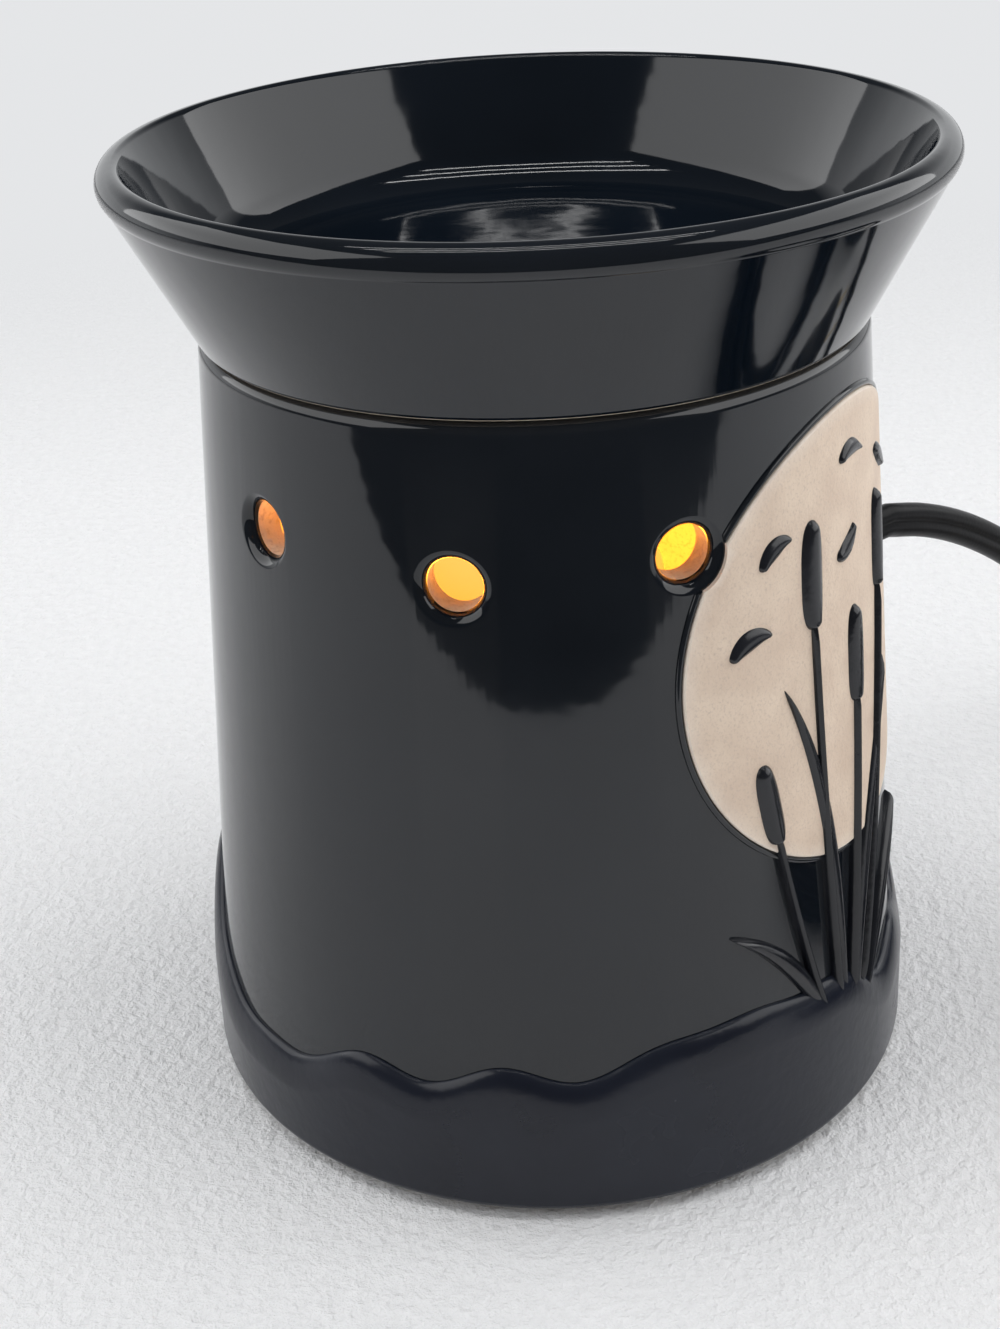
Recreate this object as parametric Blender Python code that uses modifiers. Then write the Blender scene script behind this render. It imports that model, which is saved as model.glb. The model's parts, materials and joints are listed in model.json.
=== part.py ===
"""Electric wax warmer: a glazed ceramic lamp body, a lift-off dish, a screw-in bulb and its mains lead.

Metres, +Z up. The origin is on the floor under the middle of the body. An azimuth is an angle round
+Z from the -Y side, growing towards +X. Everything is worked out from the sizes below.
"""

import math

import bmesh
import bpy
from mathutils import Matrix, Vector

MM = 0.001
TURN = 2.0 * math.pi

# Clearances
GAP = 0.3 * MM
LIFT_CLEARANCE = 1.0 * MM
THREAD_CLEARANCE = 0.6 * MM
MERGE = 0.00001

# Ceramic body
PAD_HEIGHT = 1.3 * MM
PAD_RADIUS = 2.3 * MM
PAD_COUNT = 4
BODY_HEIGHT = 124.0 * MM
BASE_RADIUS = 58.4 * MM
SHOULDER_RADIUS = 50.2 * MM
SHOULDER_ROUND = 1.8 * MM
FOOT_ROUND = 2.0 * MM
BODY_WALL = 5.5 * MM
FOOT_RING_WIDTH = 7.5 * MM
FOOT_RECESS = 5.4 * MM
LEDGE_THICKNESS = 5.0 * MM
LEDGE_WIDTH = 16.9 * MM

# Light holes
HOLE_RADIUS = 4.0 * MM
HOLE_FLARE = 0.9 * MM
HOLE_HEIGHT = 105.0 * MM
HOLE_PLACES = 10

# Pale disc on the front, and the hills along the foot
DISC_AZIMUTH = 58.3
DISC_HEIGHT = 84.0 * MM
DISC_RADIUS = 35.0 * MM
DISC_RELIEF = 0.7 * MM
BAND_RELIEF = 1.2 * MM
BAND_HEIGHT = 24.0 * MM
BAND_EDGE = 0.9 * MM
BAND_ROOT = 2.0 * MM
BAND_CREST_SHARE = 0.4
BAND_FOOT_SWEEP = 75.0
BAND_WAVES = ((3, 5.5 * MM, 8.0), (5, 3.0 * MM, 40.0), (2, 3.0 * MM, 70.0))

# Dish
DISH_HEIGHT = 26.1 * MM
DISH_RIM_RADIUS = 62.1 * MM
DISH_FOOT_RADIUS = 50.5 * MM
DISH_BEAD = 2.6 * MM
BEAD_SWEEP = 50.0
DISH_WALL = 5.0 * MM
DISH_FLOOR = 5.0 * MM
DISH_FILLET = 9.0 * MM
DISH_RING_DEPTH = 3.6 * MM
DISH_RING_WIDTH = 3.2 * MM
DISH_HOLLOW = 1.6 * MM
DISH_EDGE = 0.7 * MM

# Base plate, bridge and their screws
PLATE_THICKNESS = 1.2 * MM
PLATE_CLEARANCE = 4.9 * MM
PLATE_VENTS = 8
PLATE_VENT_RADIUS = 2.6 * MM
PLATE_VENT_CIRCLE = 20.0 * MM
BRIDGE_THICKNESS = 1.6 * MM
BRIDGE_WIDTH = 18.0 * MM
BRIDGE_LAP = 9.0 * MM
SCREW_INSET = 4.5 * MM
SCREW_RADIUS = 1.5 * MM
SCREW_HEAD_RADIUS = 3.0 * MM
SCREW_HEAD_HEIGHT = 1.8 * MM
SCREW_PROUD = 1.2 * MM
SCREW_RIM_SHARE = 0.4
SCREW_CROWN_SHARE = 0.7

# Lamp holder
NIPPLE_RADIUS = 4.9 * MM
NIPPLE_BORE = 3.4 * MM
NIPPLE_GRIP = 6.0 * MM
NIPPLE_PROUD = 0.8 * MM
NUT_RADIUS = 8.0 * MM
NUT_THICKNESS = 3.4 * MM
HOLDER_HEIGHT = 32.0 * MM
HOLDER_FLOOR = 9.0 * MM
HOLDER_WALL = 4.3 * MM
HOLDER_STEP = 5.6 * MM
SHELL_WALL = 0.5 * MM
SHELL_TOP_DROP = 0.8 * MM
TONGUE_THICKNESS = 0.5 * MM
TONGUE_WIDTH = 5.0 * MM
TONGUE_RISE = 2.0 * MM
TONGUE_REACH = 6.0 * MM

# Bulb
THREAD_RADIUS = 7.85 * MM
THREAD_HALF_DEPTH = 0.4 * MM
THREAD_PITCH = 2.82 * MM
CAP_LENGTH = 15.0 * MM
CAP_WALL = 0.6 * MM
CONTACT_RADIUS = 2.6 * MM
CONTACT_HEIGHT = 1.2 * MM
INSULATOR_RADIUS = 6.4 * MM
INSULATOR_HEIGHT = 2.2 * MM
BULB_RADIUS = 19.5 * MM
GLASS_HEIGHT = 47.0 * MM
GLASS_CROWN = 11.0 * MM
GLASS_WALL = 0.8 * MM
GLASS_NECK = 6.0 * MM
GLASS_FLARE = 1.35
NECK_DEPTH = 8.0 * MM
STEM_HEIGHT = 20.0 * MM
STEM_TOP_RADIUS = 2.4 * MM
FILAMENT_RADIUS = 0.3 * MM
FILAMENT_SPAN = 8.0 * MM
FILAMENT_RISE = 8.0 * MM

# Lead inside the body
TERMINAL_SPREAD = 40.0
TERMINAL_HEIGHT = 7.0 * MM
TERMINAL_RADIUS = 2.4 * MM
TERMINAL_LENGTH = 2.2 * MM
TERMINAL_SHANK = 1.3 * MM
TERMINAL_GRIP = 2.2 * MM
WIRE_RADIUS = 0.9 * MM
WIRE_SPREAD = 3.2 * MM

# A wire's way down, as shares of its drop, its way in and the wires' spread, and then how it lands
WIRE_FALL = ((0.0, 0.0, 0.5), (0.0, 0.12, 0.5), (0.18, 0.30, 1.0), (0.48, 0.40, 1.6))
WIRE_LANDING = ((0.18, 0.28), (0.06, 0.0), (0.0, 0.0))

# Lead outside the body
CORD_DIAMETER = 6.6 * MM
CORD_LIFT = 0.1 * MM
EXIT_AZIMUTH = 130.0
EXIT_HEIGHT = 64.6 * MM
RELIEF_LENGTH = 23.0 * MM
RELIEF_NECK = 4.0 * MM
RELIEF_FLANGE = 6.4 * MM
RELIEF_FLANGE_THICKNESS = 2.0 * MM
RELIEF_TIP = 4.1 * MM
RELIEF_INNER = 3.0 * MM

# Switch on the lead
SWITCH_X = 192.0 * MM
SWITCH_Y = 34.0 * MM
SWITCH_LENGTH = 48.0 * MM
SWITCH_WIDTH = 24.0 * MM
SWITCH_HEIGHT = 18.0 * MM
SWITCH_END_WIDTH = 11.0 * MM
SWITCH_ROUND = 1.2 * MM
WHEEL_RADIUS = 13.4 * MM
WHEEL_THICKNESS = 6.0 * MM
WHEEL_TEETH = 24
WHEEL_TOOTH = 0.5 * MM
WHEEL_CLEARANCE = 0.5 * MM
AXLE_RADIUS = 2.4 * MM
AXLE_LENGTH = 2.4 * MM
SWITCH_CONTACT_LENGTH = 6.0 * MM
SWITCH_CONTACT_WIDTH = 4.0 * MM
SWITCH_CONTACT_THICKNESS = 0.6 * MM
SWITCH_SCREW_X = 3.6 * MM
SWITCH_SCREW_Y = 18.6 * MM
SWITCH_SCREW_RADIUS = 1.1 * MM
SWITCH_SCREW_HEAD = 2.0 * MM
SWITCH_SCREW_HEAD_HEIGHT = 1.3 * MM
SWITCH_SCREW_SHARE = 0.7

# Coil of the length that is put away, its tie and the plug
COIL_X = 146.0 * MM
COIL_Y = -22.0 * MM
COIL_TURNS = 4.6
COIL_OUTER = 46.0 * MM
COIL_STEP = 7.2 * MM
COIL_LIFT = 1.3 * MM
COIL_POINT_COUNT = 24
COIL_LEAD_OUT = 14.0 * MM
TAIL_STRAIGHT = 0.12
TIE_TURN = 0.15
TIE_WIDTH = 10.0 * MM
TIE_THICKNESS = 0.7 * MM
PLUG_WIDTH = 24.0 * MM
PLUG_HEIGHT = 19.0 * MM
PLUG_LENGTH = 30.0 * MM
PLUG_TAPER = 0.72
PLUG_ROUND = 2.4 * MM
PLUG_RELIEF_LENGTH = 20.0 * MM
PLUG_RELIEF_ROOT = 6.4 * MM
BLADE_SPACING = 12.7 * MM
BLADE_WIDTH = 6.35 * MM
BLADE_THICKNESS = 1.5 * MM
BLADE_LENGTH = 17.0 * MM
BLADE_ROOT = 6.0 * MM
BLADE_HOLE = 1.5 * MM
BLADE_HOLE_INSET = 4.0 * MM

# The free lead's route from its strain relief to the switch, after its first straight run
LEAD_ROUTE = [
    (72.8, 61.1, 61.6),
    (81.2, 68.2, 56.8),
    (89.6, 75.2, 50.5),
    (98.5, 82.4, 42.4),
    (108.5, 89.2, 33.0),
    (119.5, 95.0, 23.6),
    (131.5, 99.6, 14.8),
    (144.5, 101.8, 8.0),
    (157.5, 100.2, 4.4),
    (169.5, 94.8, 3.6),
    (179.4, 86.4, 4.2),
    (187.0, 76.0, 6.6),
]

# Worked out from the sizes above
BODY_BOTTOM = PAD_HEIGHT + GAP
BODY_TOP = BODY_BOTTOM + BODY_HEIGHT
LEDGE_UNDER = BODY_BOTTOM + FOOT_RECESS
FOOT_INNER = BASE_RADIUS - FOOT_RING_WIDTH
LEDGE_OPENING = FOOT_INNER - LEDGE_WIDTH
LEDGE_TOP = LEDGE_UNDER + LEDGE_THICKNESS
MOUTH_RADIUS = SHOULDER_RADIUS - BODY_WALL
PLATE_RADIUS = FOOT_INNER - PLATE_CLEARANCE
PLATE_TOP = LEDGE_UNDER - GAP
PLATE_BOTTOM = PLATE_TOP - PLATE_THICKNESS
BRIDGE_BOTTOM = LEDGE_TOP + GAP
BRIDGE_TOP = BRIDGE_BOTTOM + BRIDGE_THICKNESS
SCREW_CIRCLE = LEDGE_OPENING - SCREW_INSET
HOLDER_BOTTOM = BRIDGE_TOP + GAP
HOLDER_TOP = HOLDER_BOTTOM + HOLDER_HEIGHT
POCKET_BOTTOM = HOLDER_BOTTOM + HOLDER_FLOOR
SHELL_BORE = THREAD_RADIUS + THREAD_CLEARANCE
SHELL_OUTER = SHELL_BORE + THREAD_HALF_DEPTH + SHELL_WALL
POCKET_RADIUS = SHELL_OUTER + GAP
STEP_RADIUS = SHELL_BORE - THREAD_HALF_DEPTH
HOLDER_RADIUS = POCKET_RADIUS + HOLDER_WALL
TONGUE_TOP = POCKET_BOTTOM + GAP + TONGUE_RISE + TONGUE_THICKNESS
CONTACT_BOTTOM = TONGUE_TOP + GAP
CAP_BOTTOM = CONTACT_BOTTOM + CONTACT_HEIGHT + INSULATOR_HEIGHT + GAP
CAP_TOP = CAP_BOTTOM + CAP_LENGTH
CAP_BORE = THREAD_RADIUS - THREAD_HALF_DEPTH - CAP_WALL
GLASS_BOTTOM = CAP_TOP + GAP
SWITCH_AXIS = SWITCH_HEIGHT / 2
COIL_BOTTOM = CORD_DIAMETER / 2 + CORD_LIFT + COIL_LIFT
COIL_INNER = COIL_OUTER - COIL_STEP * COIL_TURNS / 2
PLUG_AXIS = PLUG_HEIGHT / 2
LARGE_STEP_COUNT = 56
BAND_STEP_COUNT = 84
MEDIUM_STEP_COUNT = 24
SMALL_STEP_COUNT = 16
ROUTE_PART_COUNT = 20
THREAD_LEVEL_COUNT = 5


def clear_scene():
    """Remove every object, so that the model starts from nothing."""
    for item in list(bpy.data.objects):
        bpy.data.objects.remove(item, do_unlink=True)


def new_collection(name):
    """A collection under the scene's own."""
    group = bpy.data.collections.new(name)
    bpy.context.scene.collection.children.link(group)
    return group


def new_material(name, colour, roughness, metallic=0.0):
    """A plain finish of one colour."""
    finish = bpy.data.materials.new(name)
    finish.use_nodes = True
    shader = finish.node_tree.nodes["Principled BSDF"]
    shader.inputs["Base Color"].default_value = (*colour, 1.0)
    shader.inputs["Roughness"].default_value = roughness
    shader.inputs["Metallic"].default_value = metallic
    return finish


clear_scene()
PARTS = new_collection("wax_warmer")
CUTTERS = new_collection("cutters")
FINISHES = {
    "glaze": new_material("black_glaze", (0.010, 0.011, 0.015), 0.08),
    "glass": new_material("frosted_glass", (0.95, 0.90, 0.78), 0.35),
    "cap": new_material("nickel_cap", (0.62, 0.60, 0.55), 0.30, 1.0),
    "insulator": new_material("black_insulator", (0.02, 0.02, 0.03), 0.25),
    "filament": new_material("filament", (0.25, 0.24, 0.22), 0.45, 1.0),
    "holder": new_material("holder_phenolic", (0.025, 0.022, 0.020), 0.45),
    "brass": new_material("brass", (0.72, 0.52, 0.20), 0.30, 1.0),
    "steel": new_material("zinc_steel", (0.58, 0.59, 0.60), 0.35, 1.0),
    "rubber": new_material("pad_rubber", (0.05, 0.05, 0.05), 0.80),
    "wire": new_material("wire_sleeve", (0.80, 0.79, 0.75), 0.50),
    "cord": new_material("cord_vinyl", (0.012, 0.012, 0.014), 0.40),
    "switch": new_material("switch_plastic", (0.018, 0.018, 0.020), 0.45),
    "tie": new_material("tie_strap", (0.03, 0.03, 0.035), 0.75),
}


def add(name, data, finish):
    """A new part from mesh or curve data, in the object's collection."""
    piece = bpy.data.objects.new(name, data)
    data.materials.append(FINISHES[finish])
    PARTS.objects.link(piece)
    return piece


def realise(piece):
    """Turn a curve, or a mesh with modifiers, into a plain welded mesh of the same shape and place."""
    bpy.context.view_layer.update()
    evaluated = piece.evaluated_get(bpy.context.evaluated_depsgraph_get())
    mesh = bpy.data.meshes.new_from_object(evaluated)
    welded = bmesh.new()
    welded.from_mesh(mesh)
    bmesh.ops.remove_doubles(welded, verts=welded.verts, dist=MERGE)
    welded.to_mesh(mesh)
    welded.free()
    mesh.shade_smooth()
    mesh.set_sharp_from_angle(angle=math.radians(35))
    name, place = piece.name, piece.matrix_world.copy()
    bpy.data.objects.remove(piece, do_unlink=True)
    solid = bpy.data.objects.new(name, mesh)
    PARTS.objects.link(solid)
    solid.matrix_world = place
    return solid


def combine(target, tool, operation):
    """Cut, join or intersect a part with a tool, which goes to the cutters' collection."""
    step = target.modifiers.new(operation.lower(), "BOOLEAN")
    step.operation = operation
    step.solver = "EXACT"
    step.object = tool
    PARTS.objects.unlink(tool)
    CUTTERS.objects.link(tool)
    tool.hide_render = True
    tool.display_type = "WIRE"


def turned(name, profile, finish, steps=MEDIUM_STEP_COUNT, closed=True):
    """A solid turned about Z from (radius, height) points that run down its outer side."""
    outline = bmesh.new()
    points = [outline.verts.new((radius, 0.0, height)) for radius, height in profile]
    ends = points[1:] + points[:1] if closed else points[1:]
    for start, end in zip(points, ends):
        outline.edges.new((start, end))
    mesh = bpy.data.meshes.new(name)
    outline.to_mesh(mesh)
    outline.free()
    piece = add(name, mesh, finish)
    screw = piece.modifiers.new("turning", "SCREW")
    screw.steps = steps
    screw.render_steps = steps
    screw.use_merge_vertices = True
    screw.merge_threshold = MERGE
    return realise(piece)


def disc(name, radius, low, high, finish, steps=SMALL_STEP_COUNT):
    """A plain round bar about Z between two heights."""
    return turned(name, [(0.0, high), (radius, high), (radius, low), (0.0, low)], finish, steps, False)


def block(name, size, centre, finish, rounding=0.0):
    """A box with optional rounded edges."""
    shape = bmesh.new()
    bmesh.ops.create_cube(shape, size=1.0)
    bmesh.ops.scale(shape, vec=Vector(size), verts=shape.verts)
    mesh = bpy.data.meshes.new(name)
    shape.to_mesh(mesh)
    shape.free()
    piece = add(name, mesh, finish)
    piece.location = centre
    if rounding:
        round_edges(piece, rounding)
    return piece


def round_edges(piece, width, segments=2):
    """Round a part's sharp edges."""
    bevel = piece.modifiers.new("rounding", "BEVEL")
    bevel.width = width
    bevel.segments = segments
    bevel.limit_method = "ANGLE"
    bevel.angle_limit = math.radians(40)


def plate(name, outlines, thickness, finish):
    """A flat plate, centred on Z = 0, from closed outlines in XY; inner ones are holes."""
    curve = bpy.data.curves.new(name, "CURVE")
    curve.dimensions = "2D"
    curve.fill_mode = "BOTH"
    curve.extrude = thickness / 2
    for outline in outlines:
        spline = curve.splines.new("POLY")
        spline.points.add(len(outline) - 1)
        spline.use_cyclic_u = True
        for point, (x, y) in zip(spline.points, outline):
            point.co = (x, y, 0.0, 1.0)
    return realise(add(name, curve, finish))


def tube(name, points, radius, finish, resolution):
    """A round tube with flat ends along points."""
    curve = bpy.data.curves.new(name, "CURVE")
    curve.dimensions = "3D"
    curve.bevel_depth = radius
    curve.bevel_resolution = resolution
    curve.use_fill_caps = True
    spline = curve.splines.new("POLY")
    spline.points.add(len(points) - 1)
    for point, place in zip(spline.points, points):
        point.co = (*place, 1.0)
    return realise(add(name, curve, finish))


def arc(centre, radius, start, end, count):
    """Points on an arc in degrees, from start to end."""
    angles = [math.radians(start + (end - start) * step / count) for step in range(count + 1)]
    return [(centre[0] + radius * math.cos(a), centre[1] + radius * math.sin(a)) for a in angles]


def rounded_box(low, high, radius, count=3):
    """A closed outline of a rectangle with round corners."""
    corners = [
        ((high[0] - radius, high[1] - radius), 0.0),
        ((low[0] + radius, high[1] - radius), 90.0),
        ((low[0] + radius, low[1] + radius), 180.0),
        ((high[0] - radius, low[1] + radius), 270.0),
    ]
    return [point for centre, start in corners for point in arc(centre, radius, start, start + 90.0, count)]


def outward_frame(azimuth, height=0.0):
    """A frame on the lamp's axis: X runs along the wall, Y is up and Z points out at an azimuth."""
    sine, cosine = math.sin(math.radians(azimuth)), math.cos(math.radians(azimuth))
    rows = ((cosine, 0.0, sine, 0.0), (sine, 0.0, -cosine, 0.0), (0.0, 1.0, 0.0, height))
    return Matrix((*rows, (0.0, 0.0, 0.0, 1.0)))


def wall_radius(height):
    """The ceramic body's outer radius at a height."""
    share = (height - BODY_BOTTOM) / BODY_HEIGHT
    return BASE_RADIUS + (SHOULDER_RADIUS - BASE_RADIUS) * share


def band_height(azimuth):
    """The height of the hills along the foot at an azimuth in degrees."""
    waves = [size * math.cos(math.radians(count * (azimuth - peak))) for count, size, peak in BAND_WAVES]
    return BODY_BOTTOM + BAND_HEIGHT + sum(waves)


def smooth_route(points, spacing):
    """Evenly spaced points on one smooth curve through a route's own points."""
    padded = [2 * points[0] - points[1], *points, 2 * points[-1] - points[-2]]
    fine = []
    for before, start, end, after in zip(padded, padded[1:], padded[2:], padded[3:]):
        for step in range(ROUTE_PART_COUNT):
            t = step / ROUTE_PART_COUNT
            fine.append(
                0.5
                * (
                    2 * start
                    + (end - before) * t
                    + (2 * before - 5 * start + 4 * end - after) * t**2
                    + (3 * start - before - 3 * end + after) * t**3
                )
            )
    fine.append(points[-1])
    lengths = [0.0]
    for start, end in zip(fine, fine[1:]):
        lengths.append(lengths[-1] + (end - start).length)
    count = max(2, round(lengths[-1] / spacing))
    even = []
    place = 0
    for step in range(count + 1):
        target = lengths[-1] * step / count
        while place < len(fine) - 2 and lengths[place + 1] < target:
            place += 1
        share = (target - lengths[place]) / (lengths[place + 1] - lengths[place])
        even.append(fine[place].lerp(fine[place + 1], share))
    return even


def ease(share):
    """A smooth step from 0 to 1."""
    share = min(1.0, max(0.0, share))
    return share * share * (3.0 - 2.0 * share)


def make_thread(piece, radius, low, high):
    """Press a right-hand screw thread into the wall that lies at a radius between two heights."""
    for vertex in piece.data.vertices:
        x, y, z = vertex.co
        if abs(math.hypot(x, y) - radius) < MERGE and low <= z <= high:
            fade = min(1.0, (z - low) / (THREAD_PITCH / 2), (high - z) / (THREAD_PITCH / 2))
            phase = TURN * z / THREAD_PITCH - math.atan2(y, x)
            grown = radius + THREAD_HALF_DEPTH * fade * math.cos(phase)
            vertex.co = (x * grown / radius, y * grown / radius, z)


def thread_levels(low, high):
    """Heights for a threaded wall, several to each turn of the thread, from high to low."""
    count = math.ceil((high - low) / THREAD_PITCH * THREAD_LEVEL_COUNT)
    return [high + (low - high) * step / count for step in range(count + 1)]


def make_body():
    """The slip-cast body: a tapered wall with a ledge near its foot, light holes and low relief."""
    ledge_inner = wall_radius(LEDGE_TOP) - BODY_WALL
    shoulder = (wall_radius(BODY_TOP - SHOULDER_ROUND) - SHOULDER_ROUND, BODY_TOP - SHOULDER_ROUND)
    foot = (wall_radius(BODY_BOTTOM + FOOT_ROUND) - FOOT_ROUND, BODY_BOTTOM + FOOT_ROUND)
    profile = [(MOUTH_RADIUS, BODY_TOP)]
    profile += arc(shoulder, SHOULDER_ROUND, 90.0, 0.0, 4)
    profile += arc(foot, FOOT_ROUND, 0.0, -90.0, 4)
    profile += [(FOOT_INNER, BODY_BOTTOM), (FOOT_INNER, LEDGE_UNDER), (LEDGE_OPENING, LEDGE_UNDER)]
    profile += [(LEDGE_OPENING, LEDGE_TOP), (ledge_inner, LEDGE_TOP)]
    body = turned("ceramic_body", profile, "glaze", LARGE_STEP_COUNT)
    combine(body, make_band(), "UNION")
    combine(body, make_disc_relief(), "UNION")
    for place in range(1, HOLE_PLACES):
        combine(body, make_light_hole(place), "DIFFERENCE")
    combine(body, make_cord_hole(), "DIFFERENCE")


def make_band():
    """The raised hills along the foot, rooted in the wall."""
    low = BODY_BOTTOM + FOOT_ROUND
    high = BODY_BOTTOM + BAND_HEIGHT
    proud = [(wall_radius(high) + BAND_RELIEF * BAND_CREST_SHARE, high)]
    proud += [(wall_radius(high) + BAND_RELIEF, high - BAND_EDGE)]
    foot = arc((wall_radius(low) + BAND_RELIEF - FOOT_ROUND, low), FOOT_ROUND, 0.0, -BAND_FOOT_SWEEP, 3)
    root = [(foot[-1][0] - BAND_ROOT, foot[-1][1]), (wall_radius(high) - BAND_ROOT, high)]
    band = turned("band_relief", proud + foot + root, "glaze", BAND_STEP_COUNT)
    for vertex in band.data.vertices:
        x, y, z = vertex.co
        if z > high - 2 * BAND_EDGE:
            moved = z + band_height(math.degrees(math.atan2(x, -y))) - high
            grown = 1.0 + (wall_radius(moved) - wall_radius(z)) / math.hypot(x, y)
            vertex.co = (x * grown, y * grown, moved)
    return band


def make_disc_relief():
    """The raised round disc on the front, which follows the wall."""
    low, high = DISC_HEIGHT - DISC_RADIUS - BAND_ROOT, DISC_HEIGHT + DISC_RADIUS + BAND_ROOT
    outer = [(wall_radius(high) + DISC_RELIEF, high), (wall_radius(low) + DISC_RELIEF, low)]
    inner = [(wall_radius(low) - BAND_ROOT, low), (wall_radius(high) - BAND_ROOT, high)]
    relief = turned("disc_relief", outer + inner, "glaze", LARGE_STEP_COUNT)
    centre_radius = wall_radius(DISC_HEIGHT)
    half_width = centre_radius * math.sin(DISC_RADIUS / centre_radius)
    edge = disc("disc_edge", DISC_RADIUS, centre_radius / 2, centre_radius * 1.5, "glaze", LARGE_STEP_COUNT)
    squeeze = Matrix.Diagonal((half_width / DISC_RADIUS, 1.0, 1.0, 1.0))
    edge.matrix_world = outward_frame(DISC_AZIMUTH, DISC_HEIGHT) @ squeeze
    combine(relief, edge, "INTERSECT")
    return relief


def make_light_hole(place):
    """A cutter for one light hole, with a rounded mouth on the outside."""
    surface = wall_radius(HOLE_HEIGHT)
    wide, far, deep = HOLE_RADIUS + 2 * HOLE_FLARE, surface + BODY_WALL, surface - 2 * BODY_WALL
    profile = [(0.0, far), (wide, far), (wide, surface + HOLE_FLARE)]
    profile += [(HOLE_RADIUS + HOLE_FLARE / 3, surface - HOLE_FLARE * 2 / 3)]
    profile += [(HOLE_RADIUS, surface - HOLE_FLARE * 3 / 2), (HOLE_RADIUS, deep), (0.0, deep)]
    hole = turned("light_hole", profile, "glaze", SMALL_STEP_COUNT, False)
    hole.matrix_world = outward_frame(DISC_AZIMUTH + 360.0 * place / HOLE_PLACES, HOLE_HEIGHT)
    return hole


def make_cord_hole():
    """A cutter for the hole that the lead leaves by."""
    surface = wall_radius(EXIT_HEIGHT)
    low, high = surface - 2 * BODY_WALL, surface + BODY_WALL
    hole = disc("cord_hole", RELIEF_NECK + GAP, low, high, "glaze")
    hole.matrix_world = outward_frame(EXIT_AZIMUTH, EXIT_HEIGHT)
    return hole


def make_dish():
    """The lift-off dish: a flared bowl with a beaded rim and a ring that drops into the body's mouth."""
    seat = BODY_TOP + GAP
    top = seat + DISH_HEIGHT
    bead = (DISH_RIM_RADIUS - DISH_BEAD, top - DISH_BEAD)
    floor = seat + DISH_HOLLOW + DISH_FLOOR
    ring_outer = MOUTH_RADIUS - LIFT_CLEARANCE
    ring_inner = ring_outer - DISH_RING_WIDTH
    foot_high = seat + DISH_EDGE
    sweep = math.radians(BEAD_SWEEP)
    under_bead = (bead[0] + DISH_BEAD * math.cos(sweep), bead[1] - DISH_BEAD * math.sin(sweep))
    slope = (under_bead[0] - DISH_FOOT_RADIUS) / (under_bead[1] - foot_high)
    inner_foot = DISH_FOOT_RADIUS + slope * (floor - foot_high) - DISH_WALL
    tilt = math.degrees(math.atan(slope))
    fillet_x = inner_foot - DISH_FILLET * math.tan(math.radians((90.0 - tilt) / 2))
    profile = [(0.0, floor)]
    profile += arc((fillet_x, floor + DISH_FILLET), DISH_FILLET, -90.0, -tilt, 4)
    profile += arc(bead, DISH_BEAD, 180.0 - tilt, -BEAD_SWEEP, 8)
    profile += [(DISH_FOOT_RADIUS, foot_high), (DISH_FOOT_RADIUS - DISH_EDGE, seat)]
    profile += [(ring_outer, seat), (ring_outer, seat - DISH_RING_DEPTH)]
    profile += [(ring_inner, seat - DISH_RING_DEPTH), (ring_inner, seat + DISH_HOLLOW)]
    profile += [(0.0, seat + DISH_HOLLOW)]
    turned("wax_dish", profile, "glaze", LARGE_STEP_COUNT, False)


def make_pads():
    """Small rubber pads under the foot ring."""
    circle = BASE_RADIUS - FOOT_RING_WIDTH / 2 - FOOT_ROUND / 2
    for number in range(PAD_COUNT):
        pad = disc(f"foot_pad_{number + 1}", PAD_RADIUS, 0.0, PAD_HEIGHT, "rubber")
        azimuth = math.radians(360.0 * (number + 0.5) / PAD_COUNT)
        pad.location = (circle * math.sin(azimuth), -circle * math.cos(azimuth), 0.0)


def make_screw(name, finish, sizes, low, length):
    """A pan-head screw about Z with its head down: sizes are shank radius, head radius and head height."""
    shank, head, height = sizes
    crown = [(head, low + height), (head, low + height * SCREW_RIM_SHARE)]
    crown += [(head * SCREW_CROWN_SHARE, low), (0.0, low)]
    profile = [(0.0, low + height + length), (shank, low + height + length), (shank, low + height)]
    return turned(name, profile + crown, finish, SMALL_STEP_COUNT, False)


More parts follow.
